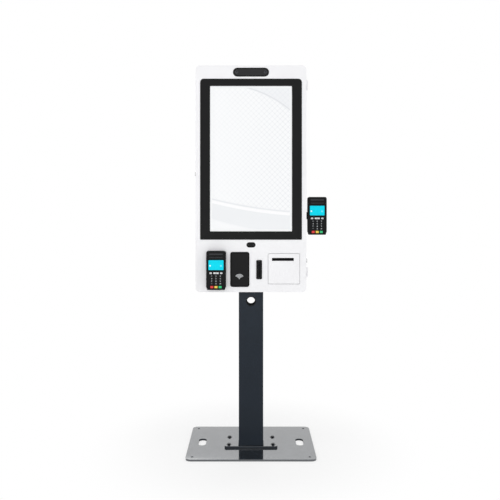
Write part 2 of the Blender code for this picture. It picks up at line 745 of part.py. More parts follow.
# Display -------------------------------------------------------------------
def bezel_outline(grow):
    """Bezel outline, grown: round upper corners and nearly square lower ones."""
    half = BEZEL_WIDTH / 2 + grow
    top = BEZEL_TOP + grow
    foot = BEZEL_TOP - BEZEL_HEIGHT - grow
    high = BEZEL_CORNER + grow
    low = BEZEL_FOOT_CORNER + grow
    points = arc((half - high, top - high), high, 0, 90)
    points += arc((-half + high, top - high), high, 90, 180)
    points += arc((-half + low, foot + low), low, 180, 270)
    points += arc((half - low, foot + low), low, 270, 360)
    return points


def build_bezel():
    """Black frame round the screen: lip, rebate for the glass and rear flange."""
    body = prism("Y", bezel_outline(0.0), BEZEL_FRONT, BEZEL_BACK)
    frame = make_part("bezel_frame", body, BLACK)
    flange = prism("Y", bezel_outline(BEZEL_FLANGE), FLANGE_FRONT, BEZEL_BACK - GAP)
    weld(frame, "flange", flange)
    window = rounded((0.0, SCREEN_Z), (SCREEN_WIDTH, SCREEN_HEIGHT), 2 * WELD)
    cut(frame, "window", prism("Y", window, BEZEL_FRONT - WELD, BEZEL_BACK + WELD))
    overlap = 2 * (GLASS_OVERLAP + GAP)
    rebate = rounded((0.0, SCREEN_Z), (SCREEN_WIDTH + overlap, SCREEN_HEIGHT + overlap), 3 * WELD)
    cut(frame, "rebate", prism("Y", rebate, BEZEL_LIP_BACK, BEZEL_BACK + 2 * WELD))


def build_glass():
    """Touch glass in the frame's rebate."""
    size = (SCREEN_WIDTH + 2 * GLASS_OVERLAP, SCREEN_HEIGHT + 2 * GLASS_OVERLAP)
    outline = rounded((0.0, SCREEN_Z), size, 3 * WELD)
    make_part("touch_glass", prism("Y", outline, GLASS_FRONT, GLASS_BACK), GLASS)


def build_display_panel():
    """Display module behind the glass."""
    size = (SCREEN_WIDTH + 2 * PANEL_OVERLAP, SCREEN_HEIGHT + 2 * PANEL_OVERLAP)
    outline = rounded((0.0, SCREEN_Z), size, 3 * WELD)
    module = prism("Y", outline, PANEL_FRONT, PANEL_FRONT + PANEL_THICK)
    make_part("display_panel", module, CHARCOAL)


# Front fittings --------------------------------------------------------------
def build_fitting(name, centre, size, radius, proud, finish):
    """Body that stands through the door's face, with a flange behind it."""
    back = FLANGE_FRONT + FITTING_FLANGE_THICK
    outline = rounded(centre, size, radius)
    part = make_part(name, prism("Y", outline, HEAD_FRONT - proud, back), finish)
    wide = (size[0] + 2 * FITTING_FLANGE, size[1] + 2 * FITTING_FLANGE)
    flange = rounded(centre, wide, radius + FITTING_FLANGE)
    weld(part, "flange", prism("Y", flange, FLANGE_FRONT, back - GAP))
    return part


def build_camera_bar():
    """Camera bar: a black pill with a shallow recess for its window."""
    centre = (0.0, CAMERA_Z)
    bar = build_fitting("camera_bar", centre, (CAMERA_WIDTH, CAMERA_HEIGHT), CAMERA_HEIGHT / 2,
                        CAMERA_PROUD, BLACK)
    front = HEAD_FRONT - CAMERA_PROUD
    size = (CAMERA_WIDTH - 2 * CAMERA_RIM, CAMERA_HEIGHT - 2 * CAMERA_RIM)
    recess = rounded(centre, size, size[1] / 2)
    cut(bar, "recess", prism("Y", recess, front - WELD, front + CAMERA_RECESS))


def build_readers():
    """Presence sensor, contactless reader and card reader."""
    build_fitting("sensor_window", (0.0, SENSOR_Z), (SENSOR_WIDTH, SENSOR_HEIGHT),
                  SENSOR_HEIGHT / 2, SENSOR_PROUD, BLACK)
    reader = build_fitting("contactless_reader", (READER_X, READER_Z),
                           (READER_WIDTH, READER_HEIGHT), READER_CORNER, READER_PROUD, BLACK)
    front = HEAD_FRONT - READER_PROUD
    size = (READER_WIDTH - 2 * READER_RIM, READER_HEIGHT - 2 * READER_RIM)
    dish = rounded((READER_X, READER_Z), size, READER_CORNER / 2)
    cut(reader, "dish", prism("Y", dish, front - WELD, front + WELD))
    weld(reader, "body", prism("Y", dish, FLANGE_FRONT, FLANGE_FRONT + READER_BACK))
    bezel = build_fitting("card_reader_bezel", (CARD_X, CARD_Z), (CARD_WIDTH, CARD_HEIGHT),
                          CARD_CORNER, CARD_PROUD, BLACK)
    slot = rounded((CARD_X, CARD_Z), (CARD_SLOT_WIDTH, CARD_SLOT_HEIGHT), CARD_SLOT_WIDTH / 2)
    module_front = FLANGE_FRONT + FITTING_FLANGE_THICK + GAP
    cut(bezel, "slot", prism("Y", slot, HEAD_FRONT - CARD_PROUD - WELD, module_front))
    size = (CARD_MODULE_WIDTH, CARD_MODULE_HEIGHT)
    outline = rounded((CARD_X, CARD_Z), size, CARD_CORNER)
    case = prism("Y", outline, module_front, module_front + CARD_MODULE_DEPTH)
    module = make_part("card_reader_module", case, CHARCOAL)
    depth = CARD_MODULE_DEPTH - CARD_CORNER
    cut(module, "slot", prism("Y", slot, module_front - WELD, module_front + depth))


# Receipt printer -------------------------------------------------------------
def build_hatch():
    """Printer door: paper slot, knuckles at the left and lock tongue at the right."""
    outline = rounded((HATCH_X, HATCH_Z), (HATCH_WIDTH, HATCH_HEIGHT), HATCH_CORNER)
    hatch = make_part("printer_door", prism("Y", outline, HEAD_FRONT, FACE_BACK), WHITE,
                      (HATCH_AXIS_X, HATCH_AXIS_Y, HATCH_Z))
    slot = rounded((PAPER_SLOT_X, PAPER_SLOT_Z), (PAPER_SLOT_WIDTH, PAPER_SLOT_HEIGHT), 2 * WELD)
    cut(hatch, "paper_slot", prism("Y", slot, HEAD_FRONT - WELD, FACE_BACK + WELD))
    reach = HATCH_HEIGHT / 2 - HATCH_KNUCKLE_LENGTH
    for label, end in (("lower_knuckle", -1), ("upper_knuckle", 1)):
        low = HATCH_Z + end * reach - HATCH_KNUCKLE_LENGTH / 2
        high = low + HATCH_KNUCKLE_LENGTH
        half = HATCH_KNUCKLE
        knuckle = box((HATCH_AXIS_X - half, FACE_BACK - WELD, low),
                      (HATCH_AXIS_X + half, HATCH_AXIS_Y + half, high))
        weld(hatch, label, knuckle)
    bore = cylinder("Z", (HATCH_AXIS_X, HATCH_AXIS_Y), HATCH_PIN + RUNNING,
                    HATCH_Z - HATCH_HEIGHT / 2, HATCH_Z + HATCH_HEIGHT / 2, 16)
    cut(hatch, "pin_bore", bore)
    left = TONGUE_RIGHT - TONGUE_WIDTH
    lip_front = HATCH_LOCK_Y + CAM_HALF_WIDTH + CATCH_BEHIND_CAM
    back = lip_front + TONGUE_THICK
    tongue = box((left, FACE_BACK - WELD, TONGUE_TOP - TONGUE_THICK),
                 (TONGUE_RIGHT, back, TONGUE_TOP))
    weld(hatch, "tongue", tongue)
    lip = box((left + GAP, lip_front, TONGUE_TOP - WELD),
              (TONGUE_RIGHT - GAP, back - GAP, TONGUE_TOP + TONGUE_LIP))
    weld(hatch, "lip", lip)
    lugs = hatch_lug_places()
    pin = cylinder("Z", (HATCH_AXIS_X, HATCH_AXIS_Y), HATCH_PIN,
                   lugs[0][0] + GAP, lugs[1][1] - GAP, 16)
    make_part("printer_hinge_pin", pin, STEEL)


def build_printer():
    """Printer frame open at the front, with bores for the platen and the spindle."""
    left = PRINTER_X - PRINTER_WIDTH / 2
    right = PRINTER_X + PRINTER_WIDTH / 2
    wall = PRINTER_WALL
    case = box((left, PRINTER_FRONT, PRINTER_BOTTOM), (right, PRINTER_BACK, PRINTER_TOP))
    frame = make_part("receipt_printer", case, CHARCOAL)
    bay = box((left + wall, PRINTER_FRONT - WELD, PRINTER_BOTTOM + wall),
              (right - wall, PRINTER_BACK - wall, PRINTER_TOP - wall))
    cut(frame, "bay", bay)
    head_front = PLATEN_Y + PLATEN_RADIUS + PLATEN_NIP
    block = box((left + WELD, head_front, PRINTER_TOP - wall - HEAD_BLOCK_HEIGHT),
                (right - WELD, head_front + HEAD_BLOCK_DEPTH, PRINTER_TOP - WELD))
    weld(frame, "head_block", block)
    platen_axis = (PLATEN_Y, PLATEN_Z)
    spindle_axis = (SPINDLE_Y, SPINDLE_Z)
    bores = bmesh.new()
    add_cylinder(bores, "X", platen_axis, PLATEN_SHAFT + RUNNING, left - WELD, right + WELD, 16)
    add_cylinder(bores, "X", spindle_axis, SPINDLE_RADIUS + GAP, left - WELD, right + WELD)
    cut(frame, "bores", bores)
    build_rollers(left, right)


def build_rollers(left, right):
    """Platen on its shaft, and the paper roll on its spindle."""
    inner_left = left + PRINTER_WALL + PRINTER_SIDE_PLAY
    inner_right = right - PRINTER_WALL - PRINTER_SIDE_PLAY
    axis = (PLATEN_Y, PLATEN_Z)
    rubber = cylinder("X", axis, PLATEN_RADIUS, inner_left, inner_right)
    platen = make_part("platen_roller", rubber, RUBBER, (PRINTER_X, PLATEN_Y, PLATEN_Z))
    shaft = cylinder("X", axis, PLATEN_SHAFT, left - SHAFT_END, right + SHAFT_END, 16)
    weld(platen, "shaft", shaft)
    axis = (SPINDLE_Y, SPINDLE_Z)
    spindle = cylinder("X", axis, SPINDLE_RADIUS, left - SHAFT_END, right + SHAFT_END)
    make_part("paper_spindle", spindle, CHARCOAL)
    wound = cylinder("X", axis, ROLL_RADIUS, inner_left, inner_right, 32)
    roll = make_part("paper_roll", wound, PAPER, (PRINTER_X, SPINDLE_Y, SPINDLE_Z))
    cut(roll, "core", cylinder("X", axis, SPINDLE_RADIUS + RUNNING, left, right))


# Card terminals --------------------------------------------------------------
def terminal_outline(inset):
    """Terminal outline from its foot upwards: narrow foot, then the full width."""
    half = TERMINAL_WIDTH / 2 - inset
    foot = FOOT_WIDTH / 2 - inset
    radius = TERMINAL_CORNER - inset
    top = TERMINAL_HEIGHT - inset
    points = arc((-foot + radius / 2, inset + radius / 2), radius / 2, 180, 270, 3)
    points += arc((foot - radius / 2, inset + radius / 2), radius / 2, 270, 360, 3)
    points += [(foot, FOOT_HEIGHT - FOOT_STEP), (half, FOOT_HEIGHT + FOOT_STEP)]
    points += arc((half - radius, top - radius), radius, 0, 90)
    points += arc((-half + radius, top - radius), radius, 90, 180)
    points += [(-half, FOOT_HEIGHT + FOOT_STEP), (-foot, FOOT_HEIGHT - FOOT_STEP)]
    return points


def number_key_places():
    """Centres of the twelve number keys."""
    rows = [KEY_TOP_ROW - KEY_PITCH_Z * row for row in range(KEY_ROWS)]
    return [(KEY_PITCH_X * column, row) for row in rows for column in (-1, 0, 1)]


def mat_keys():
    """Centre and size of every key on the silicone mat."""
    keys = [(place, (KEY_WIDTH, KEY_HEIGHT)) for place in number_key_places()]
    keys += [((side * MENU_KEY_X, MENU_RISE), (MENU_KEY_WIDTH, KEY_HEIGHT)) for side in (-1, 1)]
    keys.append(((0.0, MENU_RISE), (MENU_BAR_WIDTH, KEY_HEIGHT)))
    return keys


def placed(outline, corner):
    """Move a terminal outline to the terminal's bottom centre."""
    return [(corner[0] + u, corner[1] + v) for u, v in outline]


def rectangle(centre, size, grow=0.0):
    """Plain rectangular outline."""
    half_u = size[0] / 2 + grow
    half_v = size[1] / 2 + grow
    signs = ((1, 1), (-1, 1), (-1, -1), (1, -1))
    return [(centre[0] + u * half_u, centre[1] + v * half_v) for u, v in signs]


def build_terminal_shell(name, corner, front):
    """Terminal front shell: window, key holes and paper bay, open at the back."""
    outline = placed(terminal_outline(0.0), corner)
    shell = make_part(name + "_shell", prism("Y", outline, front, front + TERMINAL_SHELL), BLACK)
    inside = placed(terminal_outline(TERMINAL_WALL), corner)
    cut(shell, "inside", prism("Y", inside, front + TERMINAL_WALL, front + TERMINAL_SHELL + WELD))
    shapes = [rectangle(centre, size, GAP) for centre, size in mat_keys()]
    for column in (-1, 0, 1):
        centre = (COLOUR_KEY_PITCH * column, COLOUR_KEY_RISE)
        shapes.append(rectangle(centre, (KEY_WIDTH, COLOUR_KEY_HEIGHT), GAP))
    window = (WINDOW_WIDTH + 2 * GAP, WINDOW_HEIGHT + 2 * GAP)
    shapes.append(rounded((0.0, WINDOW_RISE), window, 2 * WELD))
    bay_top = TERMINAL_HEIGHT - TERMINAL_WALL - BAY_MARGIN
    bay_low = LID_LOW + BAY_MARGIN
    shapes.append(rectangle((0.0, (bay_top + bay_low) / 2), (BAY_WIDTH, bay_top - bay_low)))
    holes = bmesh.new()
    for shape in shapes:
        add_prism(holes, "Y", placed(shape, corner), front - WELD, front + TERMINAL_WALL + WELD)
    cut(shell, "holes", holes)
    back = front + TERMINAL_SHELL + GAP
    make_part(name + "_back_cover", prism("Y", outline, back, back + TERMINAL_COVER), CHARCOAL)
    window = placed(rounded((0.0, WINDOW_RISE), (WINDOW_WIDTH, WINDOW_HEIGHT), 2 * WELD), corner)
    low = front + WINDOW_INSET
    make_part(name + "_window", prism("Y", window, low, low + WINDOW_THICK), CYAN)


def build_keys(name, corner, front):
    """Silicone number mat and the three coloured keys."""
    behind = front + TERMINAL_WALL + GAP
    sheet = box((corner[0] - MAT_WIDTH / 2, behind, corner[1] + MAT_LOW),
                (corner[0] + MAT_WIDTH / 2, behind + MAT_THICK, corner[1] + MAT_HIGH))
    mat = make_part(name + "_keypad", sheet, RUBBER)
    domes = bmesh.new()
    for centre, size in mat_keys():
        outline = placed(rectangle(centre, size), corner)
        add_prism(domes, "Y", outline, front - KEY_PROUD, behind + WELD)
    weld(mat, "keys", domes)
    for label, column, finish in (("cancel", -1, RED), ("clear", 0, YELLOW), ("enter", 1, GREEN)):
        centre = (COLOUR_KEY_PITCH * column, COLOUR_KEY_RISE)
        size = (KEY_WIDTH, COLOUR_KEY_HEIGHT)
        outline = placed(rectangle(centre, size), corner)
        block = prism("Y", outline, front - KEY_PROUD, behind + WELD)
        key = make_part(name + "_key_" + label, block, finish)
        lip = placed(rectangle(centre, size, COLOUR_KEY_LIP), corner)
        weld(key, "lip", prism("Y", lip, behind, behind + COLOUR_KEY_LIP_THICK))


def build_lid(name, corner, front):
    """Paper lid on the terminal's face, hinged at its top edge."""
    back = front - GAP
    top = corner[1] + TERMINAL_HEIGHT - LID_TOP_INSET
    radius = LID_THICK / 2
    axis_y = back - radius
    axis_z = top - radius
    left = corner[0] - LID_WIDTH / 2
    right = corner[0] + LID_WIDTH / 2
    outline = [(back, corner[1] + LID_LOW), (back, axis_z)]
    outline += arc((axis_y, axis_z), radius, 0, 180, 6)[1:]
    outline.append((back - LID_THICK, corner[1] + LID_LOW))
    pivot = (corner[0], axis_y, axis_z)
    make_part(name + "_paper_lid", prism("X", outline, left, right), BLACK, pivot)


def build_terminal(name, centre_x, centre_z, front):
    """One card terminal."""
    corner = (centre_x, centre_z - TERMINAL_HEIGHT / 2)
    build_terminal_shell(name, corner, front)
    build_keys(name, corner, front)
    build_lid(name, corner, front)


def build_cradle(name, centre_x, centre_z, front):
    """Plate that carries a terminal by its back."""
    outline = rounded((centre_x, centre_z), (CRADLE_WIDTH, CRADLE_HEIGHT), CRADLE_CORNER)
    return make_part(name, prism("Y", outline, front, front + CRADLE_THICK), CHARCOAL)


def build_terminals():
    """Front terminal on the door and side terminal on its tilting cradle."""
    build_cradle("front_cradle", FRONT_TERMINAL_X, FRONT_TERMINAL_Z, CRADLE_FRONT_Y)
    front = CRADLE_FRONT_Y - GAP - TERMINAL_DEPTH
    build_terminal("front_terminal", FRONT_TERMINAL_X, FRONT_TERMINAL_Z, front)
    cradle = build_cradle("side_cradle", SIDE_TERMINAL_X, SIDE_TERMINAL_Z, SIDE_CRADLE_FRONT)
    half = TILT_BOSS_WIDTH / 2
    boss = tilt_block(SIDE_TERMINAL_X - half, SIDE_TERMINAL_X + half, SIDE_CRADLE_BACK - WELD)
    weld(cradle, "boss", boss)
    bore = cylinder("X", (TILT_Y, SIDE_TERMINAL_Z), TILT_PIN + RUNNING,
                    SIDE_TERMINAL_X - half - WELD, SIDE_TERMINAL_X + half + WELD, 16)
    cut(cradle, "bore", bore)
    front = SIDE_CRADLE_FRONT - GAP - TERMINAL_DEPTH
    build_terminal("side_terminal", SIDE_TERMINAL_X, SIDE_TERMINAL_Z, front)


def tilt_block(left, right, root):
    """Block from a root plane to a round end about the tilt axis."""
    side = 1 if root > TILT_Y else -1
    outline = [(root, SIDE_TERMINAL_Z - side * TILT_RADIUS)]
    outline += [(root, SIDE_TERMINAL_Z + side * TILT_RADIUS)]
    outline += arc((TILT_Y, SIDE_TERMINAL_Z), TILT_RADIUS, 90 * side, 90 * side + 180, 8)
    return prism("X", outline, left, right)


def build_side_bracket():
    """Bracket on the right wall with two ears and the tilt pin."""
    wall_in = SIDE + GAP
    wall_out = wall_in + WALL_PLATE_THICK
    arm_front = TILT_Y + TILT_RADIUS + ARM_CLEAR
    arm_back = arm_front + ARM_THICK
    half = WALL_PLATE_HEIGHT / 2
    plate = box((wall_in, arm_back - WALL_PLATE_DEPTH, SIDE_TERMINAL_Z - half),
                (wall_out, arm_back, SIDE_TERMINAL_Z + half))
    bracket = make_part("side_bracket", plate, CHARCOAL)
    ear_in = TILT_BOSS_WIDTH / 2 + RUNNING
    ear_out = ear_in + EAR_THICK
    arm = box((wall_in + GAP, arm_front, SIDE_TERMINAL_Z - ARM_HEIGHT / 2),
              (SIDE_TERMINAL_X + ear_out, arm_back - GAP, SIDE_TERMINAL_Z + ARM_HEIGHT / 2))
    weld(bracket, "arm", arm)
    root = arm_front + WELD
    inner = SIDE_TERMINAL_X - ear_in
    outer = SIDE_TERMINAL_X + ear_in
    thick = EAR_THICK - GAP
    weld(bracket, "inner_ear", tilt_block(inner - thick, inner, root))
    weld(bracket, "outer_ear", tilt_block(outer, outer + thick, root))
    bore = cylinder("X", (TILT_Y, SIDE_TERMINAL_Z), TILT_PIN + GAP,
                    SIDE_TERMINAL_X - ear_out - WELD, SIDE_TERMINAL_X + ear_out + WELD, 16)
    cut(bracket, "bore", bore)
    reach = ear_out + WELD
    pin = cylinder("X", (TILT_Y, SIDE_TERMINAL_Z), TILT_PIN,
                   SIDE_TERMINAL_X - reach, SIDE_TERMINAL_X + reach, 16)
    make_part("side_tilt_pin", pin, STEEL)


# Inside ----------------------------------------------------------------------
def build_boxes():
    """Computer and power supply on the housing's back."""
    back = HOUSING_FLOOR - GAP
    computer = rounded((0.0, COMPUTER_Z), (COMPUTER_WIDTH, COMPUTER_HEIGHT), BOX_CORNER)
    make_part("computer_box", prism("Y", computer, back - COMPUTER_DEPTH, back), CHARCOAL)
    supply = rounded((SUPPLY_X, SUPPLY_Z), (SUPPLY_WIDTH, SUPPLY_HEIGHT), BOX_CORNER)
    make_part("power_supply", prism("Y", supply, back - SUPPLY_DEPTH, back), STEEL)


def build_power_inlet():
    """Mains inlet through the housing's back, and its rocker switch."""
    centre = (INLET_X, INLET_Z)
    body = rounded(centre, (INLET_WIDTH, INLET_HEIGHT), INLET_CORNER)
    rim_front = HEAD_BACK + GAP
    back = rim_front + INLET_RIM
    inlet = make_part("power_inlet", prism("Y", body, back - INLET_DEPTH, back), BLACK)
    rim = rounded(centre, (INLET_WIDTH + 2 * INLET_RIM, INLET_HEIGHT + 2 * INLET_RIM), INLET_CORNER)
    weld(inlet, "rim", prism("Y", rim, rim_front, back - GAP))
    socket = rounded((INLET_X - SOCKET_SHIFT, INLET_Z), (SOCKET_WIDTH, SOCKET_HEIGHT), 2 * WELD)
    cut(inlet, "socket", prism("Y", socket, back - SOCKET_DEPTH, back + WELD))
    rocker_x = INLET_X + ROCKER_SHIFT
    play = 2 * ROCKER_PLAY
    well = rectangle((rocker_x, INLET_Z), (ROCKER_WIDTH + play, ROCKER_HEIGHT + 2 * play))
    cut(inlet, "well", prism("Y", well, back - ROCKER_DEPTH - 3 * WELD, back + WELD))
    low = back - ROCKER_SINK
    half = ROCKER_HEIGHT / 2
    rocker = box((rocker_x - ROCKER_WIDTH / 2, low, INLET_Z - half),
                 (rocker_x + ROCKER_WIDTH / 2, low + ROCKER_DEPTH, INLET_Z + half))
    pivot = Vector((rocker_x, back - ROCKER_SINK / 2, INLET_Z))
    turn = Matrix.Rotation(math.radians(-ROCKER_TILT), 3, "X")
    bmesh.ops.rotate(rocker, cent=pivot, matrix=turn, verts=rocker.verts)
    make_part("power_switch", rocker, BLACK, pivot)


def build_fan():
    """Exhaust fan on the housing's back: frame, hub on struts, and rotor."""
    centre = (FAN_X, FAN_Z)
    back = HOUSING_FLOOR - GAP
    front = back - FAN_DEPTH
    outline = rounded(centre, (FAN_SIZE, FAN_SIZE), FAN_CORNER)
    frame = make_part("fan_frame", prism("Y", outline, front, back), BLACK)
    cut(frame, "bore", cylinder("Y", centre, FAN_BORE, front - WELD, back + WELD, 32))
    reach = FAN_BORE + WELD
    strut = FAN_STRUT / 2
    spider = box((FAN_X - reach, front, FAN_Z - strut),
                 (FAN_X + reach, front + FAN_HUB_DEPTH, FAN_Z + strut))
    weld(frame, "struts", spider)
    weld(frame, "hub", cylinder("Y", centre, FAN_HUB, front + GAP, front + FAN_HUB_DEPTH + GAP))
    shaft_end = back - 2 * GAP
    weld(frame, "shaft", cylinder("Y", centre, FAN_SHAFT, front + WELD, shaft_end, 12))
    rotor_front = front + FAN_HUB_DEPTH + 3 * GAP
    hub = cylinder("Y", centre, FAN_ROTOR_HUB, rotor_front, back - GAP)
    pivot = (FAN_X, (rotor_front + back) / 2, FAN_Z)
    rotor = make_part("fan_rotor", hub, CHARCOAL, pivot)
    for blade in range(FAN_BLADES):
        weld(rotor, "blade_" + str(blade + 1), fan_blade(blade, rotor_front, back - GAP))
    cut(rotor, "bore", cylinder("Y", centre, FAN_SHAFT + RUNNING,
                                rotor_front - WELD, back + WELD, 12))


def fan_blade(blade, front, back):
    """One flat blade, tilted about its own length and turned round the hub."""
    middle = (front + back) / 2
    reach = FAN_ROTOR * 0.99
    half_chord = (back - front) / 2 * 0.9
    half_thick = FAN_BLADE_THICK / 2
    vane = box((FAN_ROTOR_HUB - 2 * WELD, middle - half_chord, -half_thick),
               (reach, middle + half_chord, half_thick))
    tilt = Matrix.Rotation(math.radians(FAN_BLADE_TILT), 3, "X")
    bmesh.ops.rotate(vane, cent=(0.0, middle, 0.0), matrix=tilt, verts=vane.verts)
    turn = Matrix.Rotation(2 * math.pi * blade / FAN_BLADES, 3, "Y")
    bmesh.ops.rotate(vane, cent=(0.0, middle, 0.0), matrix=turn, verts=vane.verts)
    bmesh.ops.translate(vane, vec=(FAN_X, 0.0, FAN_Z), verts=vane.verts)
    return vane


def build():
    """Build the whole kiosk."""
    for item in list(bpy.data.objects):
        bpy.data.objects.remove(item, do_unlink=True)
    build_base_plate()
    build_foot_flange()
    build_foot_bolts()
    build_column()
    build_column_cap()
    build_mount_plate()
    build_rear_housing()
    build_back_panel()
    build_front_door()
    build_hinges()
    build_door_lock()
    build_hatch_lock()
    build_bezel()
    build_glass()
    build_display_panel()
    build_camera_bar()
    build_readers()
    build_hatch()
    build_printer()
    build_terminals()
    build_side_bracket()
    build_boxes()
    build_power_inlet()
    build_fan()


build()
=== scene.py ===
"""Looks of a self-service payment kiosk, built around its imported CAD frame.

Every class below is one sub-assembly. It keeps its sizes as fields, in metres, builds its meshes with bmesh
operators in the frame's own place, and dresses them with procedural finishes.
"""
from __future__ import annotations

import json
import logging
import math
from collections.abc import Callable, Iterable, Sequence
from dataclasses import dataclass
from enum import Enum
from itertools import product

import bmesh
import bpy
from mathutils import Matrix, Vector


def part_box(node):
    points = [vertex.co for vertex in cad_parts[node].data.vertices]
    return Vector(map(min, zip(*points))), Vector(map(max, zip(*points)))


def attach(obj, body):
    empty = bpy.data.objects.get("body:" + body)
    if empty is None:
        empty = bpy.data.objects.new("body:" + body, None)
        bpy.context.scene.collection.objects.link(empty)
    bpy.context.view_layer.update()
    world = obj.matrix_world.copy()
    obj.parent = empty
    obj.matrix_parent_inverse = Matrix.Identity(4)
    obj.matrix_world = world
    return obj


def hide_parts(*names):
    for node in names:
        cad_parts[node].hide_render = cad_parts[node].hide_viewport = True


LOG = logging.getLogger("kiosk")
# Angles past which shading breaks, a new shape's rim is rounded and a CAD copy's edge is rounded, and
# under which a copy's faces are one plane.
SHARP_ANGLE = math.radians(40.0)
RIM_ANGLE = math.radians(50.0)
EDGE_ANGLE = math.radians(32.0)
FLAT_ANGLE = math.radians(1.0)
# Points nearer than MERGE are one, and points within HAIR of a plane lie on it.
MERGE = 1.0e-5
HAIR = 1.0e-4
# How far a piece stands off its seat, and a place further out than any part of the kiosk.
SKIN = 0.0003
FAR = 9.0
# Share of a direction past which it runs along an axis.
ALONG = 0.99
# Scale and detail of slow colour changes and of wiped patches.
BROAD = (9.0, 2.0)
WIPED = (35.0, 4.0)
# Stretch of a brushed grain, which runs upright.
BRUSHED_ALONG = (1.0, 1.0, 0.03)
CORNERS = tuple(product((-1, 1), repeat=2))

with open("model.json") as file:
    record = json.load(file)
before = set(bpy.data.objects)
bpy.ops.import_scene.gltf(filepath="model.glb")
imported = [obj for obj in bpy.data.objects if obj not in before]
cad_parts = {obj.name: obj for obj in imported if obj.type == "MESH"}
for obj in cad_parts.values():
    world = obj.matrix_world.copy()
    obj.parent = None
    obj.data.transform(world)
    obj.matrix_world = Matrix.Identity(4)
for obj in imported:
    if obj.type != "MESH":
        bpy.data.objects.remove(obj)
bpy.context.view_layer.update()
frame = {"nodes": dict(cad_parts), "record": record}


class Axis(Enum):
    """Main direction of a shape."""

    X = 0
    Y = 1
    Z = 2


class Grain(Enum):
    """Fine relief of a surface."""

    NONE = "none"
    POWDER = "powder"
    MOULDED = "moulded"
    BRUSHED = "brushed"
    SOFT = "soft"
    PAPER = "paper"


# Finishes ------------------------------------------------------------------


def srgb(red: int, green: int, blue: int) -> tuple[float, float, float]:
    """Turn a display colour into a linear one.

    Args:
        red: Red, 0 to 255.
        green: Green, 0 to 255.
        blue: Blue, 0 to 255.

    Returns:
        The linear colour.
    """
    return tuple(((c / 255.0 + 0.055) / 1.055) ** 2.4 if c > 10 else c / 255.0 / 12.92 for c in (red, green, blue))


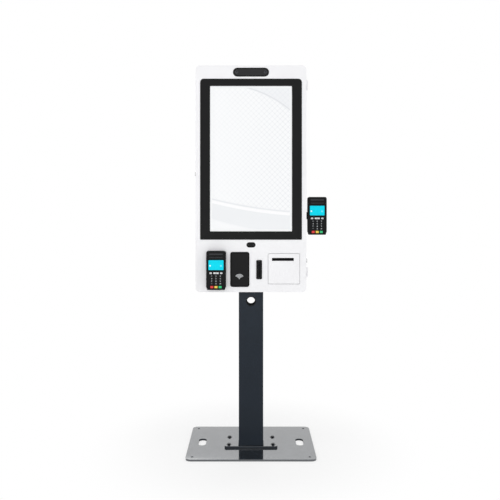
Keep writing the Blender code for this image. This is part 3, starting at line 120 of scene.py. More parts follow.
class Nodes:
    """Short way to write a material's node tree."""

    def __init__(self, name: str) -> None:
        """Start a material with a Principled shader.

        Args:
            name: The material's name.
        """
        self.material = bpy.data.materials.new(name)
        self.material.use_nodes = True
        self.tree = self.material.node_tree
        self.shader = self.tree.nodes["Principled BSDF"]
        self.place = self.add("ShaderNodeTexCoord").outputs["Object"]

    def add(self, kind: str, **values: object) -> bpy.types.Node:
        """Add a node and set its properties or unlinked inputs.

        Args:
            kind: The node's type name.
            **values: Property or input values, underscores for spaces.

        Returns:
            The node.
        """
        node = self.tree.nodes.new(kind)
        for key, value in values.items():
            label = key.replace("_", " ")
            if hasattr(node, key):
                setattr(node, key, value)
            else:
                node.inputs[label].default_value = value
        return node

    def link(self, source: bpy.types.NodeSocket, node: bpy.types.Node, label: str | int) -> None:
        """Join an output to a named input."""
        self.tree.links.new(source, node.inputs[label])

    def set(self, **values: object) -> None:
        """Set values on the shader's own sockets, underscores for spaces."""
        for key, value in values.items():
            self.shader.inputs[key.replace("_", " ")].default_value = value

    def noise(self, scale: float, detail: float = 3.0,
              stretch: Sequence[float] = (1.0, 1.0, 1.0)) -> bpy.types.NodeSocket:
        """Noise on the object's own place.

        Args:
            scale: Repeats in a metre.
            detail: Octaves.
            stretch: Scale along each axis.

        Returns:
            The noise's value.
        """
        mapping = self.add("ShaderNodeMapping")
        mapping.inputs["Scale"].default_value = stretch
        self.link(self.place, mapping, "Vector")
        noise = self.add("ShaderNodeTexNoise", Scale=scale, Detail=detail)
        self.link(mapping.outputs["Vector"], noise, "Vector")
        return noise.outputs["Fac"]

    def span(self, value: bpy.types.NodeSocket, low: float, high: float,
             start: float = 0.3, end: float = 0.7) -> bpy.types.NodeSocket:
        """Map a value from one span to another.

        Args:
            value: What is mapped.
            low: Result at the start.
            high: Result at the end.
            start: Lowest value read.
            end: Highest value read.

        Returns:
            The mapped value.
        """
        node = self.add("ShaderNodeMapRange", From_Min=start, From_Max=end, To_Min=low, To_Max=high)
        self.link(value, node, "Value")
        return node.outputs["Result"]

    def mottle(self, scale: float, detail: float) -> bpy.types.NodeSocket:
        """Soft patches of noise, from 0 to 1."""
        return self.span(self.noise(scale, detail), 0.0, 1.0)

    def blend(self, factor: bpy.types.NodeSocket, first: object, second: object) -> bpy.types.NodeSocket:
        """Mix two colours, each a value or a socket.

        Args:
            factor: How much of the second shows.
            first: Colour at 0.
            second: Colour at 1.

        Returns:
            The mixed colour.
        """
        mix = self.add("ShaderNodeMix", data_type="RGBA")
        self.tree.links.new(factor, mix.inputs[0])
        for socket, colour in ((mix.inputs[6], first), (mix.inputs[7], second)):
            if isinstance(colour, bpy.types.NodeSocket):
                self.tree.links.new(colour, socket)
            else:
                socket.default_value = (*colour[:3], 1.0)
        return mix.outputs[2]

    def sum_of(self, operation: str, first: object, second: object = 0.0) -> bpy.types.NodeSocket:
        """Two-value arithmetic on sockets or numbers.

        Args:
            operation: Math operation's name.
            first: First value.
            second: Second value.

        Returns:
            The result.
        """
        node = self.add("ShaderNodeMath", operation=operation)
        for index, value in enumerate((first, second)):
            if isinstance(value, bpy.types.NodeSocket):
                self.tree.links.new(value, node.inputs[index])
            else:
                node.inputs[index].default_value = value
        return node.outputs[0]

    def coordinates(self) -> dict[str, bpy.types.NodeSocket]:
        """Split the place into its coordinates.

        Returns:
            Each coordinate by its letter.
        """
        split = self.add("ShaderNodeSeparateXYZ")
        self.link(self.place, split, "Vector")
        return {axis.name: split.outputs[axis.name] for axis in Axis}

    def between(self, value: bpy.types.NodeSocket, low: float, high: float) -> bpy.types.NodeSocket:
        """1 where a coordinate lies between two places.

        Args:
            value: The coordinate.
            low: The lower place.
            high: The upper place.

        Returns:
            The mask.
        """
        above = self.sum_of("GREATER_THAN", value, low)
        below = self.sum_of("LESS_THAN", value, high)
        return self.sum_of("MULTIPLY", above, below)

    def paint(self, shade: bpy.types.NodeSocket, light: float = 0.0) -> None:
        """Give the shader its colour.

        Args:
            shade: The colour.
            light: How strongly it also shines by itself.
        """
        self.link(shade, self.shader, "Base Color")
        if light > 0.0:
            self.link(shade, self.shader, "Emission Color")
            self.set(Emission_Strength=light)

    def relief(self, height: bpy.types.NodeSocket, depth: float) -> None:
        """Give the shader a bump from a height.

        Args:
            height: The relief.
            depth: Its depth in metres.
        """
        bump = self.add("ShaderNodeBump", Strength=1.0, Distance=depth)
        self.link(height, bump, "Height")
        self.link(bump.outputs["Normal"], self.shader, "Normal")


@dataclass(frozen=True)
class Finish:
    """One surface finish, with its fine relief and small variations."""

    name: str
    colour: tuple[float, float, float]
    roughness: float
    metallic: float = 0.0
    coat: float = 0.0
    coat_roughness: float = 0.08
    coat_ior: float = 1.5
    grain: Grain = Grain.NONE
    grain_scale: float = 900.0
    grain_depth: float = 0.00004
    shade_change: float = 0.06
    roughness_change: float = 0.06
    specular: float = 0.5

    def material(self) -> bpy.types.Material:
        """Make this finish's material, or find it again.

        Returns:
            The material.
        """
        known = bpy.data.materials.get(self.name)
        if known is not None:
            return known
        nodes = Nodes(self.name)
        nodes.set(Metallic=self.metallic, Coat_Weight=self.coat, Coat_Roughness=self.coat_roughness,
                  Coat_IOR=self.coat_ior, Specular_IOR_Level=self.specular)
        darker = tuple(c * (1.0 - self.shade_change) for c in self.colour)
        lighter = tuple(min(1.0, c * (1.0 + self.shade_change)) for c in self.colour)
        nodes.paint(nodes.blend(nodes.mottle(*BROAD), darker, lighter))
        low = max(0.02, self.roughness - self.roughness_change)
        rough = nodes.span(nodes.noise(*WIPED), low, min(1.0, self.roughness + self.roughness_change))
        nodes.link(rough, nodes.shader, "Roughness")
        self.add_grain(nodes)
        return nodes.material

    def add_grain(self, nodes: Nodes) -> None:
        """Add the fine relief to a material.

        Args:
            nodes: The material's tree.
        """
        if self.grain is Grain.NONE:
            return
        stretch = BRUSHED_ALONG if self.grain is Grain.BRUSHED else (1.0, 1.0, 1.0)
        detail = 1.0 if self.grain is Grain.POWDER else 5.0
        height = nodes.noise(self.grain_scale, detail, stretch)
        nodes.relief(height, self.grain_depth)


WHITE_COAT = Finish("white powder coat", srgb(244, 244, 246), 0.38, grain=Grain.POWDER, grain_scale=1400.0,
                    grain_depth=0.00003, shade_change=0.012)
NAVY_COAT = Finish("navy powder coat", srgb(24, 33, 43), 0.36, coat=0.10, coat_roughness=0.22, grain=Grain.POWDER,
                   grain_scale=1600.0, grain_depth=0.00004, shade_change=0.08, specular=0.15)
PLATE_COAT = Finish("polished plate coat", srgb(43, 50, 58), 0.16, metallic=0.6, coat=1.0, coat_roughness=0.04,
                    coat_ior=2.1, grain=Grain.POWDER, grain_scale=1200.0, grain_depth=0.00001, shade_change=0.08)
GLOSS_BLACK = Finish("gloss black trim", srgb(13, 13, 14), 0.20, coat=0.03, coat_roughness=0.06, grain=Grain.SOFT,
                     grain_scale=220.0, grain_depth=0.00001, shade_change=0.10, specular=0.08)
DEEP_GLOSS = Finish("card reader gloss", srgb(11, 11, 12), 0.16, coat=0.04, shade_change=0.12, specular=0.08)
DARK_WINDOW = Finish("smoked window", srgb(30, 30, 32), 0.12, coat=0.05, coat_roughness=0.04, shade_change=0.08,
                     specular=0.12)
MATT_BLACK = Finish("moulded black plastic", srgb(20, 20, 22), 0.50, grain=Grain.MOULDED, grain_scale=2600.0,
                    grain_depth=0.00006, shade_change=0.12, specular=0.15)
TERMINAL_BLACK = Finish("terminal plastic", srgb(17, 18, 19), 0.42, grain=Grain.MOULDED, grain_scale=2600.0,
                        grain_depth=0.00005, shade_change=0.12, specular=0.10)
TERMINAL_FACE = Finish("terminal face gloss", srgb(12, 13, 14), 0.22, coat=0.05, shade_change=0.12, specular=0.10)
BLACK_OXIDE = Finish("black oxide steel", srgb(44, 45, 48), 0.36, metallic=0.5, grain=Grain.SOFT, grain_scale=900.0,
                     specular=0.2)
KEY_GREY = Finish("key silicone", srgb(38, 40, 42), 0.62, grain=Grain.SOFT, grain_scale=1800.0, shade_change=0.10,
                  specular=0.15)
MENU_WHITE = Finish("menu key", srgb(226, 228, 230), 0.45, grain=Grain.SOFT, grain_scale=1800.0, shade_change=0.03)
PRINT_WHITE = Finish("white key print", srgb(232, 234, 236), 0.55, shade_change=0.02)
PRINT_GREY = Finish("pale grey print", srgb(188, 190, 192), 0.50, shade_change=0.03)
KEY_RED = Finish("red key", srgb(226, 44, 40), 0.42, grain=Grain.SOFT, grain_scale=1600.0)
KEY_YELLOW = Finish("yellow key", srgb(246, 208, 70), 0.42, grain=Grain.SOFT, grain_scale=1600.0)
KEY_GREEN = Finish("green key", srgb(24, 196, 120), 0.42, grain=Grain.SOFT, grain_scale=1600.0)
ZINC = Finish("zinc plated steel", srgb(190, 192, 194), 0.30, metallic=1.0, grain=Grain.BRUSHED, grain_scale=900.0,
              grain_depth=0.00002)
NICKEL = Finish("polished nickel", srgb(170, 170, 170), 0.18, metallic=1.0, grain=Grain.SOFT, grain_scale=500.0,
                grain_depth=0.00001)
CASE_GREY = Finish("module case", srgb(72, 74, 78), 0.45, metallic=0.6, grain=Grain.BRUSHED, grain_scale=700.0)
BOARD_GREEN = Finish("circuit board", srgb(28, 84, 56), 0.40, coat=0.3, shade_change=0.15)
RUBBER = Finish("roller rubber", srgb(36, 36, 36), 0.82, grain=Grain.MOULDED, grain_scale=3000.0)
PAPER = Finish("thermal paper", srgb(240, 240, 236), 0.85, grain=Grain.PAPER, grain_scale=3000.0,
               grain_depth=0.00002, shade_change=0.02)
LID_GREY = Finish("lid grip plastic", srgb(54, 55, 58), 0.50, grain=Grain.MOULDED, grain_scale=2600.0,
                  specular=0.15)
# Black of black parts, and painted shade on patches that stand in for slots, mouths and other openings.
BLACK_AND_HOLE_SHADE = Finish("deep black recess", srgb(6, 6, 7), 0.70, grain=Grain.MOULDED, shade_change=0.2, specular=0.1)
LENS_GLASS = Finish("lens glass", srgb(16, 18, 28), 0.06, coat=0.3, coat_roughness=0.02, shade_change=0.3,
                    specular=0.2)


# Meshes --------------------------------------------------------------------


def point(axis: Axis, u: float, v: float, w: float) -> Vector:
    """Point (u, v) across an axis, at w along it.

    Args:
        axis: The shape's main direction.
        u: First coordinate across it, in X, Y, Z order.
        v: Second coordinate across it.
        w: Coordinate along it.

    Returns:
        The point.
    """
    if axis is Axis.X:
        return Vector((w, u, v))
    if axis is Axis.Y:
        return Vector((u, w, v))
    return Vector((u, v, w))


def turn_to(axis: Axis) -> Matrix:
    """Rotation that takes +Z to an axis.

    Args:
        axis: The axis.

    Returns:
        The rotation.
    """
    if axis is Axis.X:
        return Matrix.Rotation(math.pi / 2, 4, "Y")
    if axis is Axis.Y:
        return Matrix.Rotation(-math.pi / 2, 4, "X")
    return Matrix.Identity(4)


def bevel(bm: bmesh.types.BMesh, edges: Iterable[bmesh.types.BMEdge], width: float, segments: int) -> None:
    """Round some edges.

    Args:
        bm: The mesh.
        edges: The edges.
        width: The rounding's width.
        segments: Its segments.
    """
    bmesh.ops.bevel(bm, geom=list(edges), offset=width, offset_type="OFFSET", segments=segments, profile=0.5,
                    affect="EDGES", material=-1, clamp_overlap=True)


def add_block(bm: bmesh.types.BMesh, low: Sequence[float], high: Sequence[float], axis: Axis = Axis.Y,
              corner: float = 0.0, rim: float = 0.0, steps: int = 6) -> None:
    """Add a block whose corners round about an axis and whose rims are softened.

    Args:
        bm: The mesh.
        low: Lowest corner.
        high: Highest corner.
        axis: Direction that the round corners run along.
        corner: Corner radius.
        rim: Width of the rims' rounding.
        steps: Segments of a corner.
    """
    part = bmesh.new()
    middle = (Vector(low) + Vector(high)) / 2
    size = Vector(high) - Vector(low)
    bmesh.ops.create_cube(part, size=1.0, matrix=Matrix.Translation(middle) @ Matrix.Diagonal((*size, 1.0)))
    if corner > 0.0:
        limit = min(size[i] for i in range(3) if i != axis.value) / 2
        along = [e for e in part.edges if abs((e.verts[0].co - e.verts[1].co).normalized()[axis.value]) > ALONG]
        bevel(part, along, min(corner, limit * 0.999), steps)
    if rim > 0.0:
        bevel(part, [e for e in part.edges if e.calc_face_angle(0.0) > RIM_ANGLE], rim, 2)
    merge_into(bm, part)


def add_rod(bm: bmesh.types.BMesh, axis: Axis, centre: Sequence[float], radius: float, start: float, end: float,
            rim: float = 0.0, sides: int = 32, end_radius: float | None = None) -> None:
    """Add a cylinder or a cone along an axis.

    Args:
        bm: The mesh.
        axis: Its direction.
        centre: Its centre across the axis.
        radius: Radius at the start.
        start: Where it starts along the axis.
        end: Where it ends.
        rim: Width of the rims' rounding.
        sides: Number of sides.
        end_radius: Radius at the end, where it differs.
    """
    part = bmesh.new()
    matrix = Matrix.Translation(point(axis, centre[0], centre[1], (start + end) / 2)) @ turn_to(axis)
    bmesh.ops.create_cone(part, cap_ends=True, segments=sides, radius1=radius,
                          radius2=radius if end_radius is None else end_radius, depth=end - start, matrix=matrix)
    if rim > 0.0:
        bevel(part, [e for e in part.edges if e.calc_face_angle(0.0) > RIM_ANGLE], rim, 2)
    merge_into(bm, part)


def add_ring(bm: bmesh.types.BMesh, axis: Axis, centre: Sequence[float], at: float, radius: float,
             thick: float, sides: int = 40, around: int = 10) -> None:
    """Add a round ring, spun from a small circle.

    Args:
        bm: The mesh.
        axis: The ring's axis.
        centre: Its centre across the axis.
        at: Its place along the axis.
        radius: Its middle radius.
        thick: Radius of its section.
        sides: Steps round the ring.
        around: Sides of its section.
    """
    part = bmesh.new()
    matrix = Matrix.Translation((radius, 0.0, 0.0)) @ Matrix.Rotation(math.pi / 2, 4, "X")
    bmesh.ops.create_circle(part, segments=around, radius=thick, matrix=matrix)
    bmesh.ops.spin(part, geom=part.verts[:] + part.edges[:], cent=(0, 0, 0), axis=(0, 0, 1),
                   angle=2 * math.pi, steps=sides, use_merge=True)
    bmesh.ops.recalc_face_normals(part, faces=part.faces)
    place = Matrix.Translation(point(axis, centre[0], centre[1], at)) @ turn_to(axis)
    bmesh.ops.transform(part, matrix=place, verts=part.verts)
    merge_into(bm, part)


def add_spun(bm: bmesh.types.BMesh, axis: Axis, centre: Sequence[float], profile: Sequence[tuple[float, float]],
             sides: int = 36) -> None:
    """Add a turned shape from a profile of (radius, place along the axis) points.

    Args:
        bm: The mesh.
        axis: The turning axis.
        centre: Its centre across the axis.
        profile: Points from one end on the axis to the other.
        sides: Steps round the shape.
    """
    part = bmesh.new()
    verts = [part.verts.new((r, 0.0, z)) for r, z in profile]
    edges = [part.edges.new(pair) for pair in zip(verts, verts[1:])]
    bmesh.ops.spin(part, geom=verts + edges, cent=(0, 0, 0), axis=(0, 0, 1), angle=2 * math.pi, steps=sides,
                   use_merge=True)
    bmesh.ops.remove_doubles(part, verts=part.verts, dist=MERGE)
    bmesh.ops.recalc_face_normals(part, faces=part.faces)
    place = Matrix.Translation(point(axis, centre[0], centre[1], 0.0)) @ turn_to(axis)
    bmesh.ops.transform(part, matrix=place, verts=part.verts)
    merge_into(bm, part)


@dataclass(frozen=True)
class ScrewHead:
    """Turned head of a screw or bolt, as (radius, rise) points from its seat outwards."""

    points: tuple[tuple[float, float], ...]
    sides: int = 20

    def add(self, bm: bmesh.types.BMesh, axis: Axis, centre: Sequence[float], seat: float) -> None:
        """Add one head to a mesh.

        Args:
            bm: The mesh.
            axis: The screw's axis.
            centre: Its centre across the axis.
            seat: Where it seats along the axis.
        """
        add_spun(bm, axis, centre, [(radius, seat + rise) for radius, rise in self.points], self.sides)


SOCKET_BUTTON = ScrewHead(((0.0, 0.0), (0.0055, 0.0), (0.00539, 0.001575), (0.004125, 0.0039), (0.003025, 0.0045),
                           (0.002475, 0.0045), (0.002475, 0.0023), (0.0, 0.0023)), 28)
PAN_SCREW = ScrewHead(((0.0, 0.0), (0.003, 0.0), (0.003, 0.0008), (0.0024, 0.0014), (0.00105, 0.0014),
                       (0.0009, 0.0006), (0.0, 0.0006)))
SUNK_SCREW = ScrewHead(((0.0, -SKIN), (0.0021, -SKIN), (0.0019, 0.0002), (0.0008, 0.0002), (0.0007, -SKIN / 2),
                        (0.0, -SKIN / 2)), 18)
BRACKET_SCREW = ScrewHead(((0.0, 0.0), (0.0032, 0.0), (0.00288, 0.001), (0.00144, 0.0014), (0.00128, 0.0005),
                           (0.0, 0.0005)), 24)
FAN_SCREW = ScrewHead(((0.0, 0.0), (0.0027, 0.0), (0.0026, 0.0009), (0.0012, 0.0013), (0.001, 0.0005),
                       (0.0, 0.0005)))
CLAMP_SCREW = ScrewHead(((0.0, -0.0072), (0.0024, -0.0072), (0.0028, -0.0064), (0.0028, -0.0058), (0.0, -0.0058)), 18)


def merge_into(bm: bmesh.types.BMesh, part: bmesh.types.BMesh) -> None:
    """Move one mesh's geometry into another.

    Args:
        bm: The mesh that grows.
        part: The mesh that is emptied and freed.
    """
    holder = bpy.data.meshes.new("holder")
    part.to_mesh(holder)
    part.free()
    bm.from_mesh(holder)
    bpy.data.meshes.remove(holder)


def finish_piece(name: str, bm: bmesh.types.BMesh, finish: Finish | bpy.types.Material, body: str) -> bpy.types.Object:
    """Make a finished piece from a mesh in the frame's place.

    Args:
        name: The piece's name.
        bm: Its mesh, which is freed.
        finish: Its finish, or a ready material.
        body: The CAD body it rides on.

    Returns:
        The piece.
    """
    mesh = bpy.data.meshes.new(name)
    bm.to_mesh(mesh)
    bm.free()
    mesh.shade_smooth()
    mesh.set_sharp_from_angle(angle=SHARP_ANGLE)
    mesh.materials.append(finish.material() if isinstance(finish, Finish) else finish)
    piece = bpy.data.objects.new(name, mesh)
    bpy.context.scene.collection.objects.link(piece)
    normals = piece.modifiers.new("flat faces stay flat", "WEIGHTED_NORMAL")
    normals.keep_sharp = True
    normals.weight = 100
    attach(piece, body)
    LOG.info("piece %s rides on %s, %d faces", name, body, len(mesh.polygons))
    return piece


def body_of(node: str) -> str:
    """Name of the CAD body that holds a node."""
    bodies = frame["record"]["behaviour"]["bodies"]
    return next(body for body, members in bodies.items() if node in members)


def edged(node: str, name: str, finish: Finish | bpy.types.Material, width: float, segments: int = 2,
          chosen: Callable[[bmesh.types.BMEdge], bool] | None = None,
          first: Sequence[tuple[Callable[[bmesh.types.BMEdge], bool], float, int]] = ()) -> bpy.types.Object:
    """Stand a softly edged copy in for a CAD node.

    Args:
        node: The CAD node.
        name: The piece's name.
        finish: Its finish.
        width: Width of the edges' rounding.
        segments: Segments of it.
        chosen: Says which sharp edges are rounded, all of them by default.
        first: Edges that are rounded before those, as (test, width, segments).

    Returns:
        The piece.
    """
    bm = bmesh.new()
    bm.from_mesh(frame["nodes"][node].data)
    bmesh.ops.remove_doubles(bm, verts=bm.verts, dist=MERGE)
    bmesh.ops.dissolve_limit(bm, angle_limit=FLAT_ANGLE, verts=bm.verts, edges=bm.edges)
    for test, reach, steps in (*first, (chosen or (lambda edge: True), width, segments)):
        sharp = [e for e in bm.edges if e.is_manifold and e.calc_face_angle() > EDGE_ANGLE and test(e)]
        if sharp:
            bevel(bm, sharp, reach, steps)
    piece = finish_piece(name, bm, finish, body_of(node))
    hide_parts(node)
    return piece


def in_zone(low: Sequence[float], high: Sequence[float]) -> Callable[[bmesh.types.BMEdge], bool]:
    """Test for edges that lie wholly in a box.

    Args:
        low: The box's lowest corner.
        high: Its highest corner.

    Returns:
        A function of an edge.
    """
    def inside(edge: bmesh.types.BMEdge) -> bool:
        """Say whether both ends of an edge are in the box."""
        return all(low[i] <= vert.co[i] <= high[i] for vert in edge.verts for i in range(3))
    return inside


def on_front(node: str) -> Callable[[bmesh.types.BMEdge], bool]:
    """Test for edges on a CAD node's front plane.

    Args:
        node: The CAD node.

    Returns:
        A function of an edge.
    """
    return in_zone((-FAR, -FAR, -FAR), (FAR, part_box(node)[0].y + HAIR, FAR))


def dress(finish: Finish | bpy.types.Material, *nodes: str) -> None:
    """Give CAD nodes that stay a finish.

    Args:
        finish: The finish.
        *nodes: The nodes' names.
    """
    material = finish.material() if isinstance(finish, Finish) else finish
    for node in nodes:
        data = frame["nodes"][node].data
        data.materials.clear()
        data.materials.append(material)
        LOG.info("node %s dressed as %s", node, material.name)


def centre_of(node: str) -> Vector:
    """Middle of a CAD node's box."""
    low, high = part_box(node)
    return (low + high) / 2


# Stand ---------------------------------------------------------------------


@dataclass
class Stand:
    """Base plate, foot flange, bolts, column, cap and mount plate."""

    edge: float = 0.0008
    hole_margin: float = 0.012
    wall_start: float = 0.00056
    top_tones: tuple[tuple[float, float, float], ...] = (srgb(40, 47, 55), srgb(46, 53, 61))
    # Colour of the painted shade on the plates' upright walls.
    shaded_wall_tone: tuple[float, float, float] = srgb(27, 34, 43)
    top_roughness: tuple[float, float] = (0.10, 0.22)
    wall_roughness: float = 0.2
    wall_metal: float = 0.1
    weld_radius: float = 0.0022
    weld_height: float = 0.00308
    weld_rim: float = 0.00132
    weld_inner_area: float = 0.004
    column_corner: float = 0.006
    liner_thick: float = 0.0018
    washer_radius: float = 0.0095
    washer_thick: float = 0.0012
    bolt_spacing: tuple[float, float] = (0.160, 0.170)
    hole_radius: float = 0.020
    hole_z: float = 0.6295

    def build(self) -> None:
        """Build and dress the stand."""
        edged("base_plate", "base_plate_finished", self.coat_with_painted_wall_shade("base_plate", self.hole_margin), self.edge)
        edged("foot_flange", "foot_flange_finished", self.coat_with_painted_wall_shade("foot_flange", 0.0), self.edge)
        edged("column", "column_finished", NAVY_COAT, self.edge, chosen=self.is_column_end)
        edged("column_cap", "column_cap_finished", MATT_BLACK, self.edge)
        edged("mount_plate", "mount_plate_finished", NAVY_COAT, self.edge / 2)
        for number in range(1, 5):
            edged(f"foot_bolt_{number}", f"foot_bolt_{number}_finished", BLACK_OXIDE, self.edge / 2)
        self.build_washers()
        self.build_weld()
        self.build_hole_liners()
        self.build_mount_bolts()

    def coat_with_painted_wall_shade(self, node: str, margin: float) -> bpy.types.Material:
        """Polished coat on a plate's top, and painted shade on its upright walls further in than a margin: a darker
        colour and less metal and coat there.

        Args:
            node: The plate's CAD node.
            margin: How far in from the outline the walls with painted shade start.

        Returns:
            The material.
        """
        nodes = Nodes(f"{node} coat_and_painted_wall_shade")
        low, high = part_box(node)
        place = nodes.coordinates()
        # Painted shade: walls lower than the top by wall_start take a darker colour than the top.
        shaded_walls = nodes.sum_of("LESS_THAN", place["Z"], high.z - self.wall_start)
        if margin > 0.0:
            for letter, first, last in (("X", low.x, high.x), ("Y", low.y, high.y)):
                well_in = nodes.between(place[letter], first + margin, last - margin)
                shaded_walls = nodes.sum_of("MULTIPLY", shaded_walls, well_in)
        top = nodes.blend(nodes.mottle(*BROAD), *self.top_tones)
        nodes.paint(nodes.blend(shaded_walls, top, self.shaded_wall_tone))
        wiped = nodes.span(nodes.noise(*WIPED), *self.top_roughness)
        rougher = nodes.sum_of("MULTIPLY", shaded_walls, self.wall_roughness)
        nodes.link(nodes.sum_of("ADD", wiped, rougher), nodes.shader, "Roughness")
        # Painted shade too: the walls keep only a share of the coat's metal and weight, so they reflect less of the
        # white surroundings.
        for label, level in (("Metallic", PLATE_COAT.metallic), ("Coat Weight", PLATE_COAT.coat)):
            nodes.link(nodes.span(shaded_walls, level, level * self.wall_metal, 0.0, 1.0), nodes.shader, label)
        nodes.set(Coat_IOR=PLATE_COAT.coat_ior, Coat_Roughness=PLATE_COAT.coat_roughness, Specular_IOR_Level=0.3)
        nodes.relief(nodes.noise(PLATE_COAT.grain_scale, 1.0), PLATE_COAT.grain_depth)
        return nodes.material

    def is_column_end(self, edge: bmesh.types.BMEdge) -> bool:
        """Say whether an edge lies at an end of the column."""
        low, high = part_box("column")
        return all(min(vert.co.z - low.z, high.z - vert.co.z) < 2 * MERGE for vert in edge.verts)

    def build_washers(self) -> None:
        """Flat washers under the foot bolts' heads, as thin rings round them."""
        bm = bmesh.new()
        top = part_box("foot_flange")[1].z
        for number in range(1, 5):
            middle = centre_of(f"foot_bolt_{number}")
            add_ring(bm, Axis.Z, (middle.x, middle.y), top + self.washer_thick / 2, self.washer_radius,
                     self.washer_thick / 2, 28, 8)
        finish_piece("foot_washers", bm, BLACK_OXIDE, "stand")

    def build_weld(self) -> None:
        """Fillet weld round the column's foot."""
        low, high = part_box("column")
        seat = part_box("foot_flange")[1].z
        bm = bmesh.new()
        grow = self.weld_radius
        add_block(bm, (low.x - grow, low.y - grow, seat + SKIN),
                  (high.x + grow, high.y + grow, seat + self.weld_height), Axis.Z, self.column_corner + grow,
                  self.weld_rim)
        level = [f for f in bm.faces if abs(f.normal.z) > ALONG]
        bmesh.ops.inset_region(bm, faces=level, thickness=grow + SKIN, use_even_offset=True)
        bmesh.ops.delete(bm, geom=[f for f in bm.faces if abs(f.normal.z) > ALONG and self.covers_middle(f)],
                         context="FACES")
        bmesh.ops.bridge_loops(bm, edges=[e for e in bm.edges if e.is_boundary])
        bmesh.ops.recalc_face_normals(bm, faces=bm.faces)
        finish_piece("foot_weld", bm, NAVY_COAT, "stand")

    def covers_middle(self, face: bmesh.types.BMFace) -> bool:
        """Say whether a level face lies over the column's own section."""
        return face.calc_area() > self.weld_inner_area

    def build_hole_liners(self) -> None:
        """Dark edging rings in the column's through hole and its duct."""
        low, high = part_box("column")
        bm = bmesh.new()
        for y in (low.y, high.y):
            add_ring(bm, Axis.Y, (0.0, self.hole_z), y, self.hole_radius - self.liner_thick / 2,
                     self.liner_thick, 48, 10)
        for vert in bm.verts:
            vert.co.y = min(max(vert.co.y, low.y - self.liner_thick / 2), high.y + self.liner_thick / 2)
        finish_piece("column_hole_liners", bm, MATT_BLACK, "stand")

    def build_mount_bolts(self) -> None:
        """Button-head bolts that hold the mount plate to the head."""
        plate_low, plate_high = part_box("mount_plate")
        middle = (plate_low + plate_high) / 2
        bm = bmesh.new()
        for side, end in CORNERS:
            place = (middle.x + side * self.bolt_spacing[0] / 2, middle.z + end * self.bolt_spacing[1] / 2)
            SOCKET_BUTTON.add(bm, Axis.Y, place, plate_high.y + SKIN)
        finish_piece("mount_bolts", bm, ZINC, "stand")


# Head ----------------------------------------------------------------------


